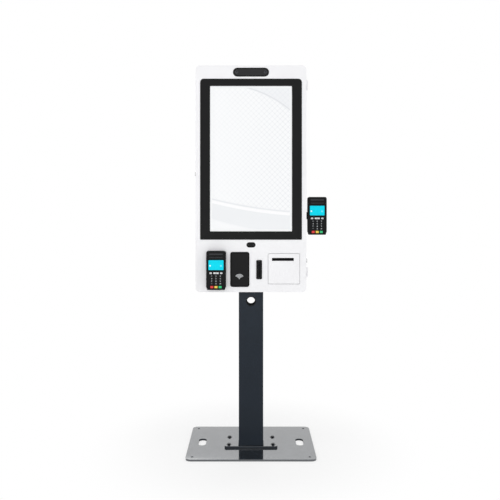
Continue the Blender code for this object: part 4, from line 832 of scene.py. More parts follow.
@dataclass
class Head:
    """White housing and door, hinges and locks."""

    edge: float = 0.0012
    seam: float = 0.0003
    barrel_edge: float = 0.0004
    screw_inset: float = 0.014
    screw_rows: int = 6
    vent_width: float = 0.090
    vent_height: float = 0.0030
    vent_pitch: float = 0.0085
    vent_rows: int = 9
    vent_centres: tuple[float, ...] = (0.120, 0.0)
    vent_z: float = 1.520
    lip_reach: float = 0.0016
    lip_height: float = 0.0018
    lip_rim: float = 0.0005
    shaded_key_slot: tuple[float, float] = (0.0012, 0.0056)
    key_slot_depth: float = 0.0010
    key_slot_proud: float = 0.0002
    leaf_thick: float = 0.0021
    leaf_screw_inset: float = 0.006
    leaf_screw_shares: tuple[float, ...] = (0.28, 0.78)

    def build(self) -> None:
        """Build and dress the head's shells and metalwork."""
        edged("front_door", "front_door_shell", WHITE_COAT, self.edge, 3, on_front("front_door"))
        edged("rear_housing", "rear_housing_shell", WHITE_COAT, self.seam)
        back = in_zone((-FAR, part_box("housing_back")[1].y - HAIR, -FAR), (FAR, FAR, FAR))
        edged("housing_back", "housing_back_shell", WHITE_COAT, self.edge, 3, back)
        for level in ("lower", "upper"):
            for half in ("fixed", "moving"):
                edged(f"hinge_{level}_{half}", f"hinge_{level}_{half}_finished", WHITE_COAT, self.seam)
        for lock in ("door_lock", "printer_lock"):
            edged(f"{lock}_barrel", f"{lock}_barrel_finished", NICKEL, self.barrel_edge)
            dress(NICKEL, f"{lock}_cam")
        self.build_key_slots()
        self.build_back_screws()
        self.build_vents()
        self.build_hinge_screws()

    def build_key_slots(self) -> None:
        """Black block in each lock's plug, painted shade standing in for the inside of its key slot."""
        for lock, body, side in (("door_lock", "door_cam", -1), ("printer_lock", "printer_cam", 1)):
            low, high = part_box(f"{lock}_cam")
            barrel = centre_of(f"{lock}_barrel")
            outer = low.x if side < 0 else high.x
            half_y, half_z = self.shaded_key_slot[0] / 2, self.shaded_key_slot[1] / 2
            bm = bmesh.new()
            near, far = sorted((outer - side * self.key_slot_depth, outer + side * self.key_slot_proud))
            add_block(bm, (near, barrel.y - half_y, barrel.z - half_z), (far, barrel.y + half_y, barrel.z + half_z),
                      Axis.X, half_y)
            finish_piece(f"{lock}_shaded_key_slot", bm, BLACK_AND_HOLE_SHADE, body)

    def build_back_screws(self) -> None:
        """Pan screws round the housing's back."""
        low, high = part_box("housing_back")
        bm = bmesh.new()
        for side in (-1, 1):
            for row in range(self.screw_rows):
                z = low.z + self.screw_inset + (high.z - low.z - 2 * self.screw_inset) * row / (self.screw_rows - 1)
                PAN_SCREW.add(bm, Axis.Y, (side * (high.x - self.screw_inset), z), high.y + SKIN)
        finish_piece("housing_screws", bm, ZINC, "stand")

    def build_vents(self) -> None:
        """Two groups of louvre slots on the housing's back: thin black patches of painted shade that stand in for the
        openings, each under a white lip.
        """
        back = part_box("housing_back")[1].y
        half, tall = self.vent_width / 2, self.vent_height / 2
        slot_shade = bmesh.new()
        lips = bmesh.new()
        for x in self.vent_centres:
            for row in range(self.vent_rows):
                z = self.vent_z - self.vent_pitch * (row - (self.vent_rows - 1) / 2)
                add_block(slot_shade, (x - half, back + SKIN / 2, z - tall), (x + half, back + SKIN, z + tall), Axis.Y,
                          tall, 0.0, 4)
                add_block(lips, (x - half, back + SKIN, z + tall),
                          (x + half, back + self.lip_reach, z + tall + self.lip_height), Axis.Y, 0.0, self.lip_rim)
        finish_piece("vent_slots", slot_shade, BLACK_AND_HOLE_SHADE, "stand")
        finish_piece("vent_lips", lips, WHITE_COAT, "stand")

    def build_hinge_screws(self) -> None:
        """Two screws on each fixed hinge leaf."""
        bm = bmesh.new()
        for level in ("lower", "upper"):
            low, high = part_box(f"hinge_{level}_fixed")
            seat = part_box("rear_housing")[1].x + self.leaf_thick
            for share in self.leaf_screw_shares:
                z = low.z + (high.z - low.z) * share
                PAN_SCREW.add(bm, Axis.X, (high.y - self.leaf_screw_inset, z), seat)
        finish_piece("hinge_screws", bm, ZINC, "stand")


# Display -------------------------------------------------------------------


@dataclass(frozen=True)
class Curve:
    """One round curve of the idle picture, with a band along it and a field beyond it."""

    centre: tuple[float, float]
    radius: float
    band: float
    edge: tuple[float, float, float]
    field: tuple[float, float, float]
    edge_share: float = 0.8
    field_share: float = 0.6


@dataclass
class Display:
    """Black frame, touch glass with its picture, and the display module."""

    edge: float = 0.0009
    picture_light: float = 0.16
    field: tuple[float, float, float] = srgb(233, 234, 235)
    hatch: tuple[float, float, float] = srgb(213, 215, 218)
    hatch_scale: float = 46.0
    hatch_fade: tuple[float, float, float, float] = (0.10, 0.45, 0.1, 0.9)
    hatch_line: tuple[float, float] = (0.04, 0.16)
    margin: float = 0.0165
    margin_softness: float = 0.001
    softness: float = 0.0022
    curves: tuple[Curve, ...] = (
        Curve((-0.1347, 1.0746), 0.458, 0.0040, srgb(208, 210, 213), srgb(221, 223, 226)),
        Curve((0.2845, 2.810), 1.800, 0.0050, srgb(212, 214, 217), srgb(236, 236, 237), 0.8, 0.9),
        Curve((0.2845, 2.810), 1.807, 0.0110, srgb(238, 238, 239), srgb(222, 224, 226), 0.9, 0.9),
        Curve((0.1850, 2.020), 1.094, 0.0030, srgb(228, 229, 231), srgb(233, 234, 235), 0.7, 0.8),
    )
    glass_edge: float = 0.0004
    rib_count: int = 5
    rib_height: float = 0.0035
    rib_half: float = 0.008
    rib_inset: float = 0.02
    rib_root: float = 0.001
    rib_rounding: tuple[float, float] = (0.006, 0.0008)
    board_half: float = 0.060
    board_rise: tuple[float, float] = (1.02, 1.10)
    board_thick: float = 0.0019
    board_rounding: tuple[float, float] = (0.002, 0.0002)
    chip_grid: tuple[int, int] = (6, 3)
    chip_start: tuple[float, float] = (-0.048, 1.032)
    chip_pitch: tuple[float, float] = (0.019, 0.024)
    chip_halves: tuple[float, float] = (0.004, 0.006)
    chip_thick: float = 0.0016
    chip_rounding: tuple[float, float] = (0.0006, 0.0003)

    def build(self) -> None:
        """Build and dress the display."""
        edged("bezel_frame", "bezel_frame_finished", GLOSS_BLACK, self.edge, 3, on_front("bezel_frame"))
        edged("touch_glass", "touch_glass_picture", self.picture(), self.glass_edge)
        dress(CASE_GREY, "display_panel")
        self.build_module_back()

    def picture(self) -> bpy.types.Material:
        """Idle picture under the glass: pale field, crossed hairlines, a large arc and two low curves.

        Returns:
            The material.
        """
        nodes = Nodes("idle picture under glass")
        low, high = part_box("touch_glass")
        place = nodes.coordinates()
        across = nodes.span(place["X"], 0.0, 1.0, low.x, high.x)
        slope = nodes.sum_of("ADD", place["X"], place["Z"])
        fall = nodes.sum_of("SUBTRACT", place["X"], place["Z"])
        crossed = nodes.sum_of("ADD", self.hairlines(nodes, slope), self.hairlines(nodes, fall))
        strength = nodes.sum_of("MULTIPLY", crossed, nodes.span(across, *self.hatch_fade))
        shade = nodes.blend(strength, self.field, self.hatch)
        for curve in self.curves:
            shade = self.add_curve(nodes, place, curve, shade)
        shade = nodes.blend(self.inside_margin(nodes, place, low, high), self.field, shade)
        nodes.paint(shade, self.picture_light)
        nodes.set(Roughness=0.30, Coat_Weight=0.3, Coat_Roughness=0.03, Specular_IOR_Level=0.2)
        return nodes.material

    def inside_margin(self, nodes: Nodes, place: dict[str, bpy.types.NodeSocket], low: Vector,
                      high: Vector) -> bpy.types.NodeSocket:
        """1 where the picture lies inside its plain margin.

        Args:
            nodes: The material's tree.
            place: The place's coordinates.
            low: Lowest corner of the glass.
            high: Highest corner of the glass.

        Returns:
            The mask.
        """
        nearness = []
        for letter, first, last in (("X", low.x, high.x), ("Z", low.z, high.z)):
            nearness.append(nodes.sum_of("SUBTRACT", place[letter], first))
            nearness.append(nodes.sum_of("SUBTRACT", last, place[letter]))
        least = nearness[0]
        for reach in nearness[1:]:
            least = nodes.sum_of("MINIMUM", least, reach)
        return nodes.span(least, 0.0, 1.0, self.margin - self.margin_softness, self.margin + self.margin_softness)

    def add_curve(self, nodes: Nodes, place: dict[str, bpy.types.NodeSocket], curve: Curve,
                  shade: bpy.types.NodeSocket) -> bpy.types.NodeSocket:
        """Paint one curve of the picture and the field beyond it.

        Args:
            nodes: The material's tree.
            place: The place's coordinates.
            curve: The curve.
            shade: The picture so far.

        Returns:
            The picture with the curve.
        """
        reach = self.distance(nodes, place, curve.centre)
        soft = self.softness
        beyond = nodes.span(reach, 0.0, 1.0, curve.radius - soft, curve.radius + soft)
        shade = nodes.blend(nodes.sum_of("MULTIPLY", beyond, curve.field_share), shade, curve.field)
        past = nodes.span(reach, 1.0, 0.0, curve.radius + curve.band, curve.radius + curve.band + soft)
        on_band = nodes.sum_of("MULTIPLY", beyond, past)
        return nodes.blend(nodes.sum_of("MULTIPLY", on_band, curve.edge_share), shade, curve.edge)

    def hairlines(self, nodes: Nodes, along: bpy.types.NodeSocket) -> bpy.types.NodeSocket:
        """Thin parallel lines across a coordinate.

        Args:
            nodes: The material's tree.
            along: The coordinate.

        Returns:
            1 on a line, 0 between lines.
        """
        repeat = nodes.sum_of("FRACT", nodes.sum_of("MULTIPLY", along, self.hatch_scale))
        off_line = nodes.sum_of("ABSOLUTE", nodes.sum_of("SUBTRACT", repeat, 0.5))
        return nodes.span(off_line, 1.0, 0.0, *self.hatch_line)

    def distance(self, nodes: Nodes, place: dict[str, bpy.types.NodeSocket],
                 centre: tuple[float, float]) -> bpy.types.NodeSocket:
        """Distance from a centre on the screen.

        Args:
            nodes: The material's tree.
            place: The place's coordinates.
            centre: The centre's x and z.

        Returns:
            The distance.
        """
        squares = []
        for letter, middle in zip("XZ", centre):
            shift = nodes.sum_of("SUBTRACT", place[letter], middle)
            squares.append(nodes.sum_of("MULTIPLY", shift, shift))
        return nodes.sum_of("SQRT", nodes.sum_of("ADD", *squares))

    def build_module_back(self) -> None:
        """Ribs and a control board with its chips on the display module's back."""
        low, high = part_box("display_panel")
        ribs = bmesh.new()
        for rib in range(self.rib_count):
            x = low.x + (high.x - low.x) * (rib + 0.5) / self.rib_count
            add_block(ribs, (x - self.rib_half, high.y - self.rib_root, low.z + self.rib_inset),
                      (x + self.rib_half, high.y + self.rib_height, high.z - self.rib_inset), Axis.Y,
                      *self.rib_rounding)
        finish_piece("display_ribs", ribs, CASE_GREY, "door")
        board = bmesh.new()
        seat = high.y + self.rib_height
        top = seat + self.board_thick
        add_block(board, (-self.board_half, seat + SKIN, self.board_rise[0]),
                  (self.board_half, top, self.board_rise[1]), Axis.Y, *self.board_rounding)
        finish_piece("display_board", board, BOARD_GREEN, "door")
        chips = bmesh.new()
        for column, row in product(*map(range, self.chip_grid)):
            x = self.chip_start[0] + self.chip_pitch[0] * column
            z = self.chip_start[1] + self.chip_pitch[1] * row
            half = self.chip_halves[(column + row) % 2]
            add_block(chips, (x - half, top + SKIN / 3, z - half), (x + half, top + self.chip_thick, z + half),
                      Axis.Y, *self.chip_rounding, 2)
        finish_piece("display_chips", chips, BLACK_AND_HOLE_SHADE, "door")


# Front fittings --------------------------------------------------------------


@dataclass
class FrontFittings:
    """Camera bar, sensor, contactless reader and card reader."""

    edge: float = 0.0007
    window_margin: float = 0.0052
    window_depth: float = 0.0010
    window_rounding: tuple[float, float, int] = (1.0, 0.0002, 10)
    lens_inset: float = 0.013
    lens_radius: float = 0.0052
    lens_ring: float = 0.0006
    lens_dome: tuple[tuple[float, float], ...] = ((0.0, -0.0007), (0.5, -0.0005), (0.9, 0.0), (0.0, 0.0))
    sensor_spots: tuple[tuple[float, float], ...] = ((-0.0105, 0.0024), (0.0, 0.00144), (0.0105, 0.0024))
    sensor_dome: tuple[tuple[float, float], ...] = ((0.0, -0.0006), (0.7, -0.0004), (1.0, -SKIN / 3),
                                                    (0.0, -SKIN / 3))
    reader_inset: float = 0.0078
    reader_recess: float = 0.0010
    reader_speckle: tuple[float, float] = (700.0, 2.0)
    reader_grain: tuple[float, float] = (1500.0, 2.0)
    reader_grain_depth: float = 0.00002
    rim_roughness: float = 0.20
    field_rougher: float = 0.22
    reader_rim: tuple[float, float, float] = srgb(4, 4, 5)
    reader_tones: tuple[tuple[float, float, float], ...] = (srgb(26, 26, 27), srgb(31, 31, 32))
    wave_centre: tuple[float, float] = (-0.0476, 0.7368)
    wave_radii: tuple[float, ...] = (0.0052, 0.0093, 0.0134, 0.0175)
    wave_spread: float = 118.0
    wave_width: float = 0.0026
    wave_thick: float = 0.0003
    wave_steps: int = 18
    wave_dot: float = 0.00221
    slot_size: tuple[float, float] = (0.0050, 0.0600)
    slot_lip: float = 0.0012
    slot_lip_reach: float = 0.0011
    slot_lip_rounding: tuple[float, float] = (0.001, 0.0004)
    lamp_half: tuple[float, float] = (0.003, 0.0011)
    lamp_gap: float = 0.0042
    lamp_reach: float = 0.0005
    lamp_rounding: tuple[float, float] = (0.001, 0.0002)

    def build(self) -> None:
        """Build and dress the fittings."""
        for node, name, finish in (("camera_bar", "camera_bar_finished", GLOSS_BLACK),
                                   ("sensor_window", "sensor_window_finished", GLOSS_BLACK),
                                   ("contactless_reader", "contactless_reader_finished", self.reader_face()),
                                   ("card_reader_bezel", "card_reader_finished", DEEP_GLOSS)):
            edged(node, name, finish, self.edge, 3, on_front(node))
        dress(CASE_GREY, "card_reader_module")
        self.build_camera_lenses()
        self.build_sensor_spots()
        self.build_wave_mark()
        self.build_card_slot()

    def reader_face(self) -> bpy.types.Material:
        """Dark grey reading field inside a gloss black rim.

        Returns:
            The material.
        """
        nodes = Nodes("contactless reader face")
        low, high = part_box("contactless_reader")
        place = nodes.coordinates()
        inset = self.reader_inset
        inside = nodes.sum_of("MULTIPLY", nodes.between(place["X"], low.x + inset, high.x - inset),
                              nodes.between(place["Z"], low.z + inset, high.z - inset))
        field_shade = nodes.blend(nodes.mottle(*self.reader_speckle), *self.reader_tones)
        nodes.paint(nodes.blend(inside, self.reader_rim, field_shade))
        rough = nodes.sum_of("ADD", nodes.sum_of("MULTIPLY", inside, self.field_rougher), self.rim_roughness)
        nodes.link(rough, nodes.shader, "Roughness")
        nodes.relief(nodes.noise(*self.reader_grain), self.reader_grain_depth)
        nodes.set(Coat_Weight=0.03, Coat_Roughness=0.1, Specular_IOR_Level=0.06)
        return nodes.material

    def build_camera_lenses(self) -> None:
        """Smoked window in the camera bar, with a lens and its ring near each end."""
        low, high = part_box("camera_bar")
        middle_z = (low.z + high.z) / 2
        window = bmesh.new()
        margin = self.window_margin
        pane = low.y + SKIN
        add_block(window, (low.x + margin, pane, low.z + margin),
                  (high.x - margin, low.y + self.window_depth - SKIN / 3, high.z - margin), Axis.Y,
                  *self.window_rounding)
        finish_piece("camera_window", window, DARK_WINDOW, "door")
        lenses = bmesh.new()
        rings = bmesh.new()
        for side in (-1, 1):
            place = (side * (high.x - margin - self.lens_inset), middle_z)
            seat = pane - SKIN / 3
            dome = [(self.lens_radius * share, seat + rise) for share, rise in self.lens_dome]
            add_spun(lenses, Axis.Y, place, dome, 32)
            add_ring(rings, Axis.Y, place, seat, self.lens_radius, self.lens_ring, 36, 8)
        finish_piece("camera_lenses", lenses, LENS_GLASS, "door")
        finish_piece("camera_lens_rings", rings, CASE_GREY, "door")

    def build_sensor_spots(self) -> None:
        """Three small windows of the presence sensor."""
        low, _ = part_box("sensor_window")
        middle = centre_of("sensor_window")
        bm = bmesh.new()
        for x, radius in self.sensor_spots:
            profile = [(radius * share, low.y + rise) for share, rise in self.sensor_dome]
            add_spun(bm, Axis.Y, (x, middle.z), profile, 24)
        finish_piece("sensor_spots", bm, LENS_GLASS, "door")

    def build_wave_mark(self) -> None:
        """Generic fan of arcs on the contactless field, opening upwards from a dot."""
        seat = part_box("contactless_reader")[0].y + self.reader_recess - SKIN / 3
        bm = bmesh.new()
        for radius in self.wave_radii:
            self.add_arc(bm, radius, seat)
        x, z = self.wave_centre
        add_rod(bm, Axis.Y, (x, z), self.wave_dot, seat - self.wave_thick, seat, 0.0, 20)
        finish_piece("contactless_mark", bm, PRINT_GREY, "door")

    def add_arc(self, bm: bmesh.types.BMesh, radius: float, seat: float) -> None:
        """Add one flat arc, spun from its square section.

        Args:
            bm: The mesh.
            radius: Its middle radius.
            seat: The face that it lies on.
        """
        part = bmesh.new()
        start = math.radians(90.0 - self.wave_spread / 2)
        half = self.wave_width / 2
        corners = ((radius - half, 0.0), (radius + half, 0.0), (radius + half, -self.wave_thick),
                   (radius - half, -self.wave_thick))
        x, z = self.wave_centre
        ring = [part.verts.new((x + r * math.cos(start), seat + y, z + r * math.sin(start))) for r, y in corners]
        face = part.faces.new(ring)
        bmesh.ops.spin(part, geom=[face], cent=(x, 0.0, z), axis=(0, -1, 0), angle=math.radians(self.wave_spread),
                       steps=self.wave_steps)
        bmesh.ops.holes_fill(part, edges=[e for e in part.edges if e.is_boundary])
        bmesh.ops.recalc_face_normals(part, faces=part.faces)
        merge_into(bm, part)

    def build_card_slot(self) -> None:
        """Guide lips beside the card reader's mouth and a small lamp at each end of it."""
        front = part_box("card_reader_bezel")[0].y
        middle = centre_of("card_reader_bezel")
        half_x, half_z = self.slot_size[0] / 2, self.slot_size[1] / 2
        lips = bmesh.new()
        lamps = bmesh.new()
        for side in (-1, 1):
            x = middle.x + side * (half_x + self.slot_lip)
            add_block(lips, (x - self.slot_lip, front - self.slot_lip_reach, middle.z - half_z),
                      (x + self.slot_lip, front - SKIN / 3, middle.z + half_z), Axis.Y, *self.slot_lip_rounding)
            z = middle.z + side * (half_z + self.lamp_gap)
            add_block(lamps, (middle.x - self.lamp_half[0], front - self.lamp_reach, z - self.lamp_half[1]),
                      (middle.x + self.lamp_half[0], front - SKIN / 3, z + self.lamp_half[1]), Axis.Y,
                      *self.lamp_rounding)
        finish_piece("card_slot_lips", lips, MATT_BLACK, "door")
        finish_piece("card_slot_lamps", lamps, LID_GREY, "door")


# Receipt printer -------------------------------------------------------------


@dataclass
class ReceiptPrinter:
    """Printer door, paper mouth and the printer behind it."""

    edge: float = 0.0010
    mouth_grow: tuple[float, float] = (0.0024, 0.0014)
    mouth_margin: float = 0.0016
    mouth_proud: float = 0.0004
    mouth_rim: float = 0.0004
    mouth_depth: float = 0.0039
    shade_floor: float = 0.0006
    roller_edge: float = 0.0005
    paper_edge: float = 0.0004
    bar_inset: float = 0.0010
    tooth_count: int = 44
    tooth_height: float = 0.0016
    tooth_shares: tuple[float, float] = (0.56, 0.06)
    gear_width: float = 0.0016
    gear_radius: float = 0.0042
    gear_rim: float = 0.0002
    gear_pitch_radius: float = 0.0044
    gear_teeth: int = 18
    gear_tooth: float = 0.0005

    def build(self) -> None:
        """Build and dress the printer."""
        edged("printer_door", "printer_door_shell", WHITE_COAT, self.edge / 2, 3, on_front("printer_door"))
        dress(ZINC, "printer_hinge_pin")
        dress(CASE_GREY, "receipt_printer")
        edged("platen_roller", "platen_roller_finished", RUBBER, self.roller_edge)
        dress(MATT_BLACK, "paper_spindle")
        edged("paper_roll", "paper_roll_finished", PAPER, self.paper_edge)
        self.build_mouth()
        self.build_gear()

    def build_mouth(self) -> None:
        """Black liner in the paper slot, whose deep black is partly the liner's own colour and partly painted shade,
        with a black floor that paints the shade of the slot's depth, and a toothed tear bar.
        """
        (left, foot), (right, top) = self.slot_box()
        door_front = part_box("printer_door")[0].y
        front, back = door_front - self.mouth_proud, door_front + self.mouth_depth
        margin = self.mouth_margin
        liner = bmesh.new()
        for low, high in ((foot, foot + margin), (top - margin, top)):
            add_block(liner, (left + SKIN, front, low + SKIN / 2), (right - SKIN, back, high - SKIN / 2), Axis.Y, 0.0,
                      self.mouth_rim)
        for low, high in ((left, left + margin), (right - margin, right)):
            add_block(liner, (low + SKIN / 2, front, foot + margin), (high - SKIN / 2, back, top - margin), Axis.Y,
                      0.0, self.mouth_rim)
        # Floor at the slot's back: a black sheet of painted shade where the slot runs deeper.
        add_block(liner, (left + margin, back - self.shade_floor, foot + margin),
                  (right - margin, back, top - margin))
        finish_piece("paper_mouth_liner", liner, BLACK_AND_HOLE_SHADE, "printer_hatch")
        bar = bmesh.new()
        width = (right - left - 2 * margin) / self.tooth_count
        root, tip = (width * share for share in self.tooth_shares)
        for tooth in range(self.tooth_count):
            x = left + margin + width * (tooth + 0.5)
            add_rod(bar, Axis.Z, (x, door_front + self.bar_inset), root, foot + margin,
                    foot + margin + self.tooth_height, 0.0, 4, tip)
        finish_piece("paper_tear_bar", bar, BLACK_OXIDE, "printer_hatch")

    def slot_box(self) -> tuple[tuple[float, float], tuple[float, float]]:
        """Lowest and highest corner of the paper slot, from the record's opening.

        Returns:
            Two (x, z) corners.
        """
        openings = frame["record"]["physics"]["openings"]
        box = next(entry["box_m"] for entry in openings if entry["name"] == "paper_slot")
        grow_x, grow_z = self.mouth_grow
        return (box[0][0] - grow_x, box[0][2] - grow_z), (box[1][0] + grow_x, box[1][2] + grow_z)

    def build_gear(self) -> None:
        """Drive gear on the platen's shaft end."""
        middle = centre_of("platen_roller")
        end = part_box("platen_roller")[1].x
        bm = bmesh.new()
        add_rod(bm, Axis.X, (middle.y, middle.z), self.gear_radius, end - self.gear_width, end - SKIN,
                self.gear_rim, 36)
        for tooth in range(self.gear_teeth):
            angle = 2 * math.pi * tooth / self.gear_teeth
            place = (middle.y + self.gear_pitch_radius * math.cos(angle),
                     middle.z + self.gear_pitch_radius * math.sin(angle))
            add_rod(bm, Axis.X, place, self.gear_tooth, end - self.gear_width, end - SKIN, 0.0, 6)
        finish_piece("platen_gear", bm, PRINT_WHITE, "platen")


# Card terminals --------------------------------------------------------------


@dataclass
class CardTerminal:
    """One card terminal: shell, lit window, keys and paper lid."""

    label: str
    body: str
    outer_round: float = 0.0022
    outline_reach: float = 0.004
    hole_round: float = 0.0004
    window_edge: float = 0.0003
    keypad_edge: float = 0.0005
    key_edge: float = 0.0006
    key_proud: float = 0.0005
    cover_edge: float = 0.0010
    cradle_edge: float = 0.0008
    lit_tones: tuple[tuple[float, float, float], ...] = (srgb(0, 207, 229), srgb(0, 215, 236))
    lit_light: float = 0.14
    lit_speckle: tuple[float, float] = (120.0, 3.0)
    bright_mark: tuple[float, float] = (-0.0243, -0.0025)
    bright_radii: tuple[float, float] = (0.0016, 0.0042)
    faint_mark: tuple[float, float] = (0.0200, -0.0030)
    faint_radii: tuple[float, float] = (0.0010, 0.0050)
    faint_share: float = 0.45
    digit_size: float = 0.0050 / 0.7
    digit_weight: float = 0.00018
    digit_thick: float = 0.00012
    digit_stand: float = 0.8
    cap_thick: float = 0.0003
    cap_rounding: tuple[float, float] = (0.0014, 0.00012)
    mark_half: float = 0.0005
    mark_corner: float = 0.0003
    menu_rise: float = 0.0685
    menu_caps: tuple[tuple[float, float], ...] = ((-0.0215, 0.0094), (0.0, 0.0214), (0.0215, 0.0094))
    cap_height: float = 0.0062
    number_columns: tuple[float, ...] = (-0.0175, 0.0, 0.0175)
    number_rows: tuple[float, ...] = (0.0568, 0.0464, 0.0360, 0.0256)
    digits: tuple[str, ...] = ("123", "456", "789", "*0#")
    ridge_rises: tuple[float, ...] = (0.1318, 0.1455)
    ridge_height: float = 0.0052
    ridge_count: int = 22
    ridge_inset: float = 0.005
    ridge_share: float = 0.28
    ridge_reach: float = 0.0006
    ridge_rounding: tuple[float, float] = (0.0004, 0.0001)
    bar_inset: float = 0.004
    bar_reach: float = 0.0007
    bar_rounding: tuple[float, float] = (0.0015, 0.0003)
    rim: float = 0.0010
    rim_softness: float = 0.0002
    rim_reach: float = 0.0004
    mouth_depth: float = 0.0004
    mouth_corners: tuple[float, float] = (0.0006, 0.0008)
    swipe_mouth: tuple[float, float] = (0.0070, 0.0086)
    swipe_insets: tuple[float, float] = (0.030, 0.012)
    chip_mouth: tuple[float, float] = (0.0080, 0.0104)
    chip_half: float = 0.027
    screw_places: tuple[tuple[float, float], ...] = ((-0.033, 0.010), (0.033, 0.010), (-0.033, 0.148), (0.033, 0.148))

    def __post_init__(self) -> None:
        """Read the shell's place from the frame."""
        low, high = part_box(self.node("shell"))
        self.middle = (low.x + high.x) / 2
        self.foot = low.z
        self.front = low.y
        self.low = low
        self.high = high

    def node(self, part: str) -> str:
        """CAD node's name for one of the terminal's parts."""
        return f"{self.label}_terminal_{part}"

    def build(self) -> None:
        """Build and dress the terminal."""
        self.build_shell()
        edged(self.node("window"), self.node("window_lit"), self.lit_window(), self.window_edge)
        edged(self.node("keypad"), self.node("keypad_moulded"), KEY_GREY, self.keypad_edge, 3, self.on_key_tops)
        for key, finish in (("cancel", KEY_RED), ("clear", KEY_YELLOW), ("enter", KEY_GREEN)):
            edged(self.node(f"key_{key}"), self.node(f"key_{key}_moulded"), finish, self.key_edge, 3,
                  self.on_key_tops)
        edged(self.node("paper_lid"), self.node("paper_lid_moulded"), TERMINAL_BLACK, self.key_edge)
        edged(self.node("back_cover"), self.node("back_cover_moulded"), MATT_BLACK, self.cover_edge)
        edged(f"{self.label}_cradle", f"{self.label}_cradle_finished", MATT_BLACK, self.cradle_edge)
        self.build_menu_caps()
        self.build_digits()
        self.build_lid_ridges()
        self.build_window_frame()
        self.build_card_mouth()
        self.build_back_screws()

    def on_outline(self, edge: bmesh.types.BMEdge) -> bool:
        """Say whether an edge is on the front's outer outline.

        Args:
            edge: The edge.

        Returns:
            Whether it is.
        """
        for vert in edge.verts:
            place = vert.co
            side = min(place.x - self.low.x, self.high.x - place.x, place.z - self.low.z, self.high.z - place.z)
            if place.y > self.front + MERGE or side > self.outline_reach:
                return False
        return True

    def on_face(self, edge: bmesh.types.BMEdge) -> bool:
        """Say whether an edge is on the front face."""
        return all(vert.co.y < self.front + MERGE for vert in edge.verts)

    def on_key_tops(self, edge: bmesh.types.BMEdge) -> bool:
        """Say whether an edge is on the keys' tops."""
        return all(vert.co.y < self.front - self.key_proud for vert in edge.verts)

    def build_shell(self) -> None:
        """Front shell with a full outer rounding and softened key holes."""
        edged(self.node("shell"), self.node("shell_moulded"), TERMINAL_BLACK, self.hole_round, 2, self.on_face,
              ((self.on_outline, self.outer_round, 4),))

    def lit_window(self) -> bpy.types.Material:
        """Cyan lit display with a bright and a faint mark.

        Returns:
            The material.
        """
        nodes = Nodes(f"{self.label} lit display")
        shade = nodes.blend(nodes.mottle(*self.lit_speckle), *self.lit_tones)
        shade = nodes.blend(self.spot(nodes, self.bright_mark, *self.bright_radii), shade, srgb(236, 252, 255))
        faint = nodes.sum_of("MULTIPLY", self.spot(nodes, self.faint_mark, *self.faint_radii), self.faint_share)
        nodes.paint(nodes.blend(faint, shade, srgb(200, 246, 252)), self.lit_light)
        nodes.set(Roughness=0.35, Specular_IOR_Level=0.1)
        return nodes.material

    def spot(self, nodes: Nodes, offset: tuple[float, float], inner: float, outer: float) -> bpy.types.NodeSocket:
        """1 inside a round spot on the window, fading out to its edge.

        Args:
            nodes: The material's tree.
            offset: The spot's (x, z) place from the window's middle.
            inner: Radius of its full part.
            outer: Radius at which it ends.

        Returns:
            How much of the spot shows.
        """
        middle = centre_of(self.node("window"))
        shift = nodes.add("ShaderNodeVectorMath", operation="SUBTRACT")
        nodes.link(nodes.place, shift, 0)
        shift.inputs[1].default_value = (middle.x + offset[0], middle.y, middle.z + offset[1])
        flat = nodes.add("ShaderNodeVectorMath", operation="MULTIPLY")
        nodes.link(shift.outputs["Vector"], flat, 0)
        flat.inputs[1].default_value = (1.0, 0.0, 1.0)
        length = nodes.add("ShaderNodeVectorMath", operation="LENGTH")
        nodes.link(flat.outputs["Vector"], length, 0)
        return nodes.span(length.outputs["Value"], 1.0, 0.0, inner, outer)

    def key_top(self) -> float:
        """Place of the keys' tops along Y."""
        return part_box(self.node("keypad"))[0].y

    def build_menu_caps(self) -> None:
        """White caps on the three menu keys, each with a short dark line."""
        top = self.key_top()
        caps = bmesh.new()
        marks = bmesh.new()
        z = self.foot + self.menu_rise
        for offset, width in self.menu_caps:
            x = self.middle + offset
            add_block(caps, (x - width / 2, top - self.cap_thick, z - self.cap_height / 2),
                      (x + width / 2, top + SKIN / 3, z + self.cap_height / 2), Axis.Y,
                      *self.cap_rounding)
            face = top - self.cap_thick
            add_block(marks, (x - width / 5, face - HAIR, z - self.mark_half),
                      (x + width / 5, face + HAIR / 2, z + self.mark_half), Axis.Y, self.mark_corner)
        finish_piece(self.node("menu_caps"), caps, MENU_WHITE, f"{self.label}_keypad")
        finish_piece(self.node("menu_marks"), marks, KEY_GREY, f"{self.label}_keypad")

    def build_digits(self) -> None:
        """Pale digits on the number keys."""
        bm = bmesh.new()
        for row, text in zip(self.number_rows, self.digits):
            for column, character in zip(self.number_columns, text):
                self.add_character(bm, character, self.middle + column, self.foot + row)
        finish_piece(self.node("digits"), bm, PRINT_GREY, f"{self.label}_keypad")

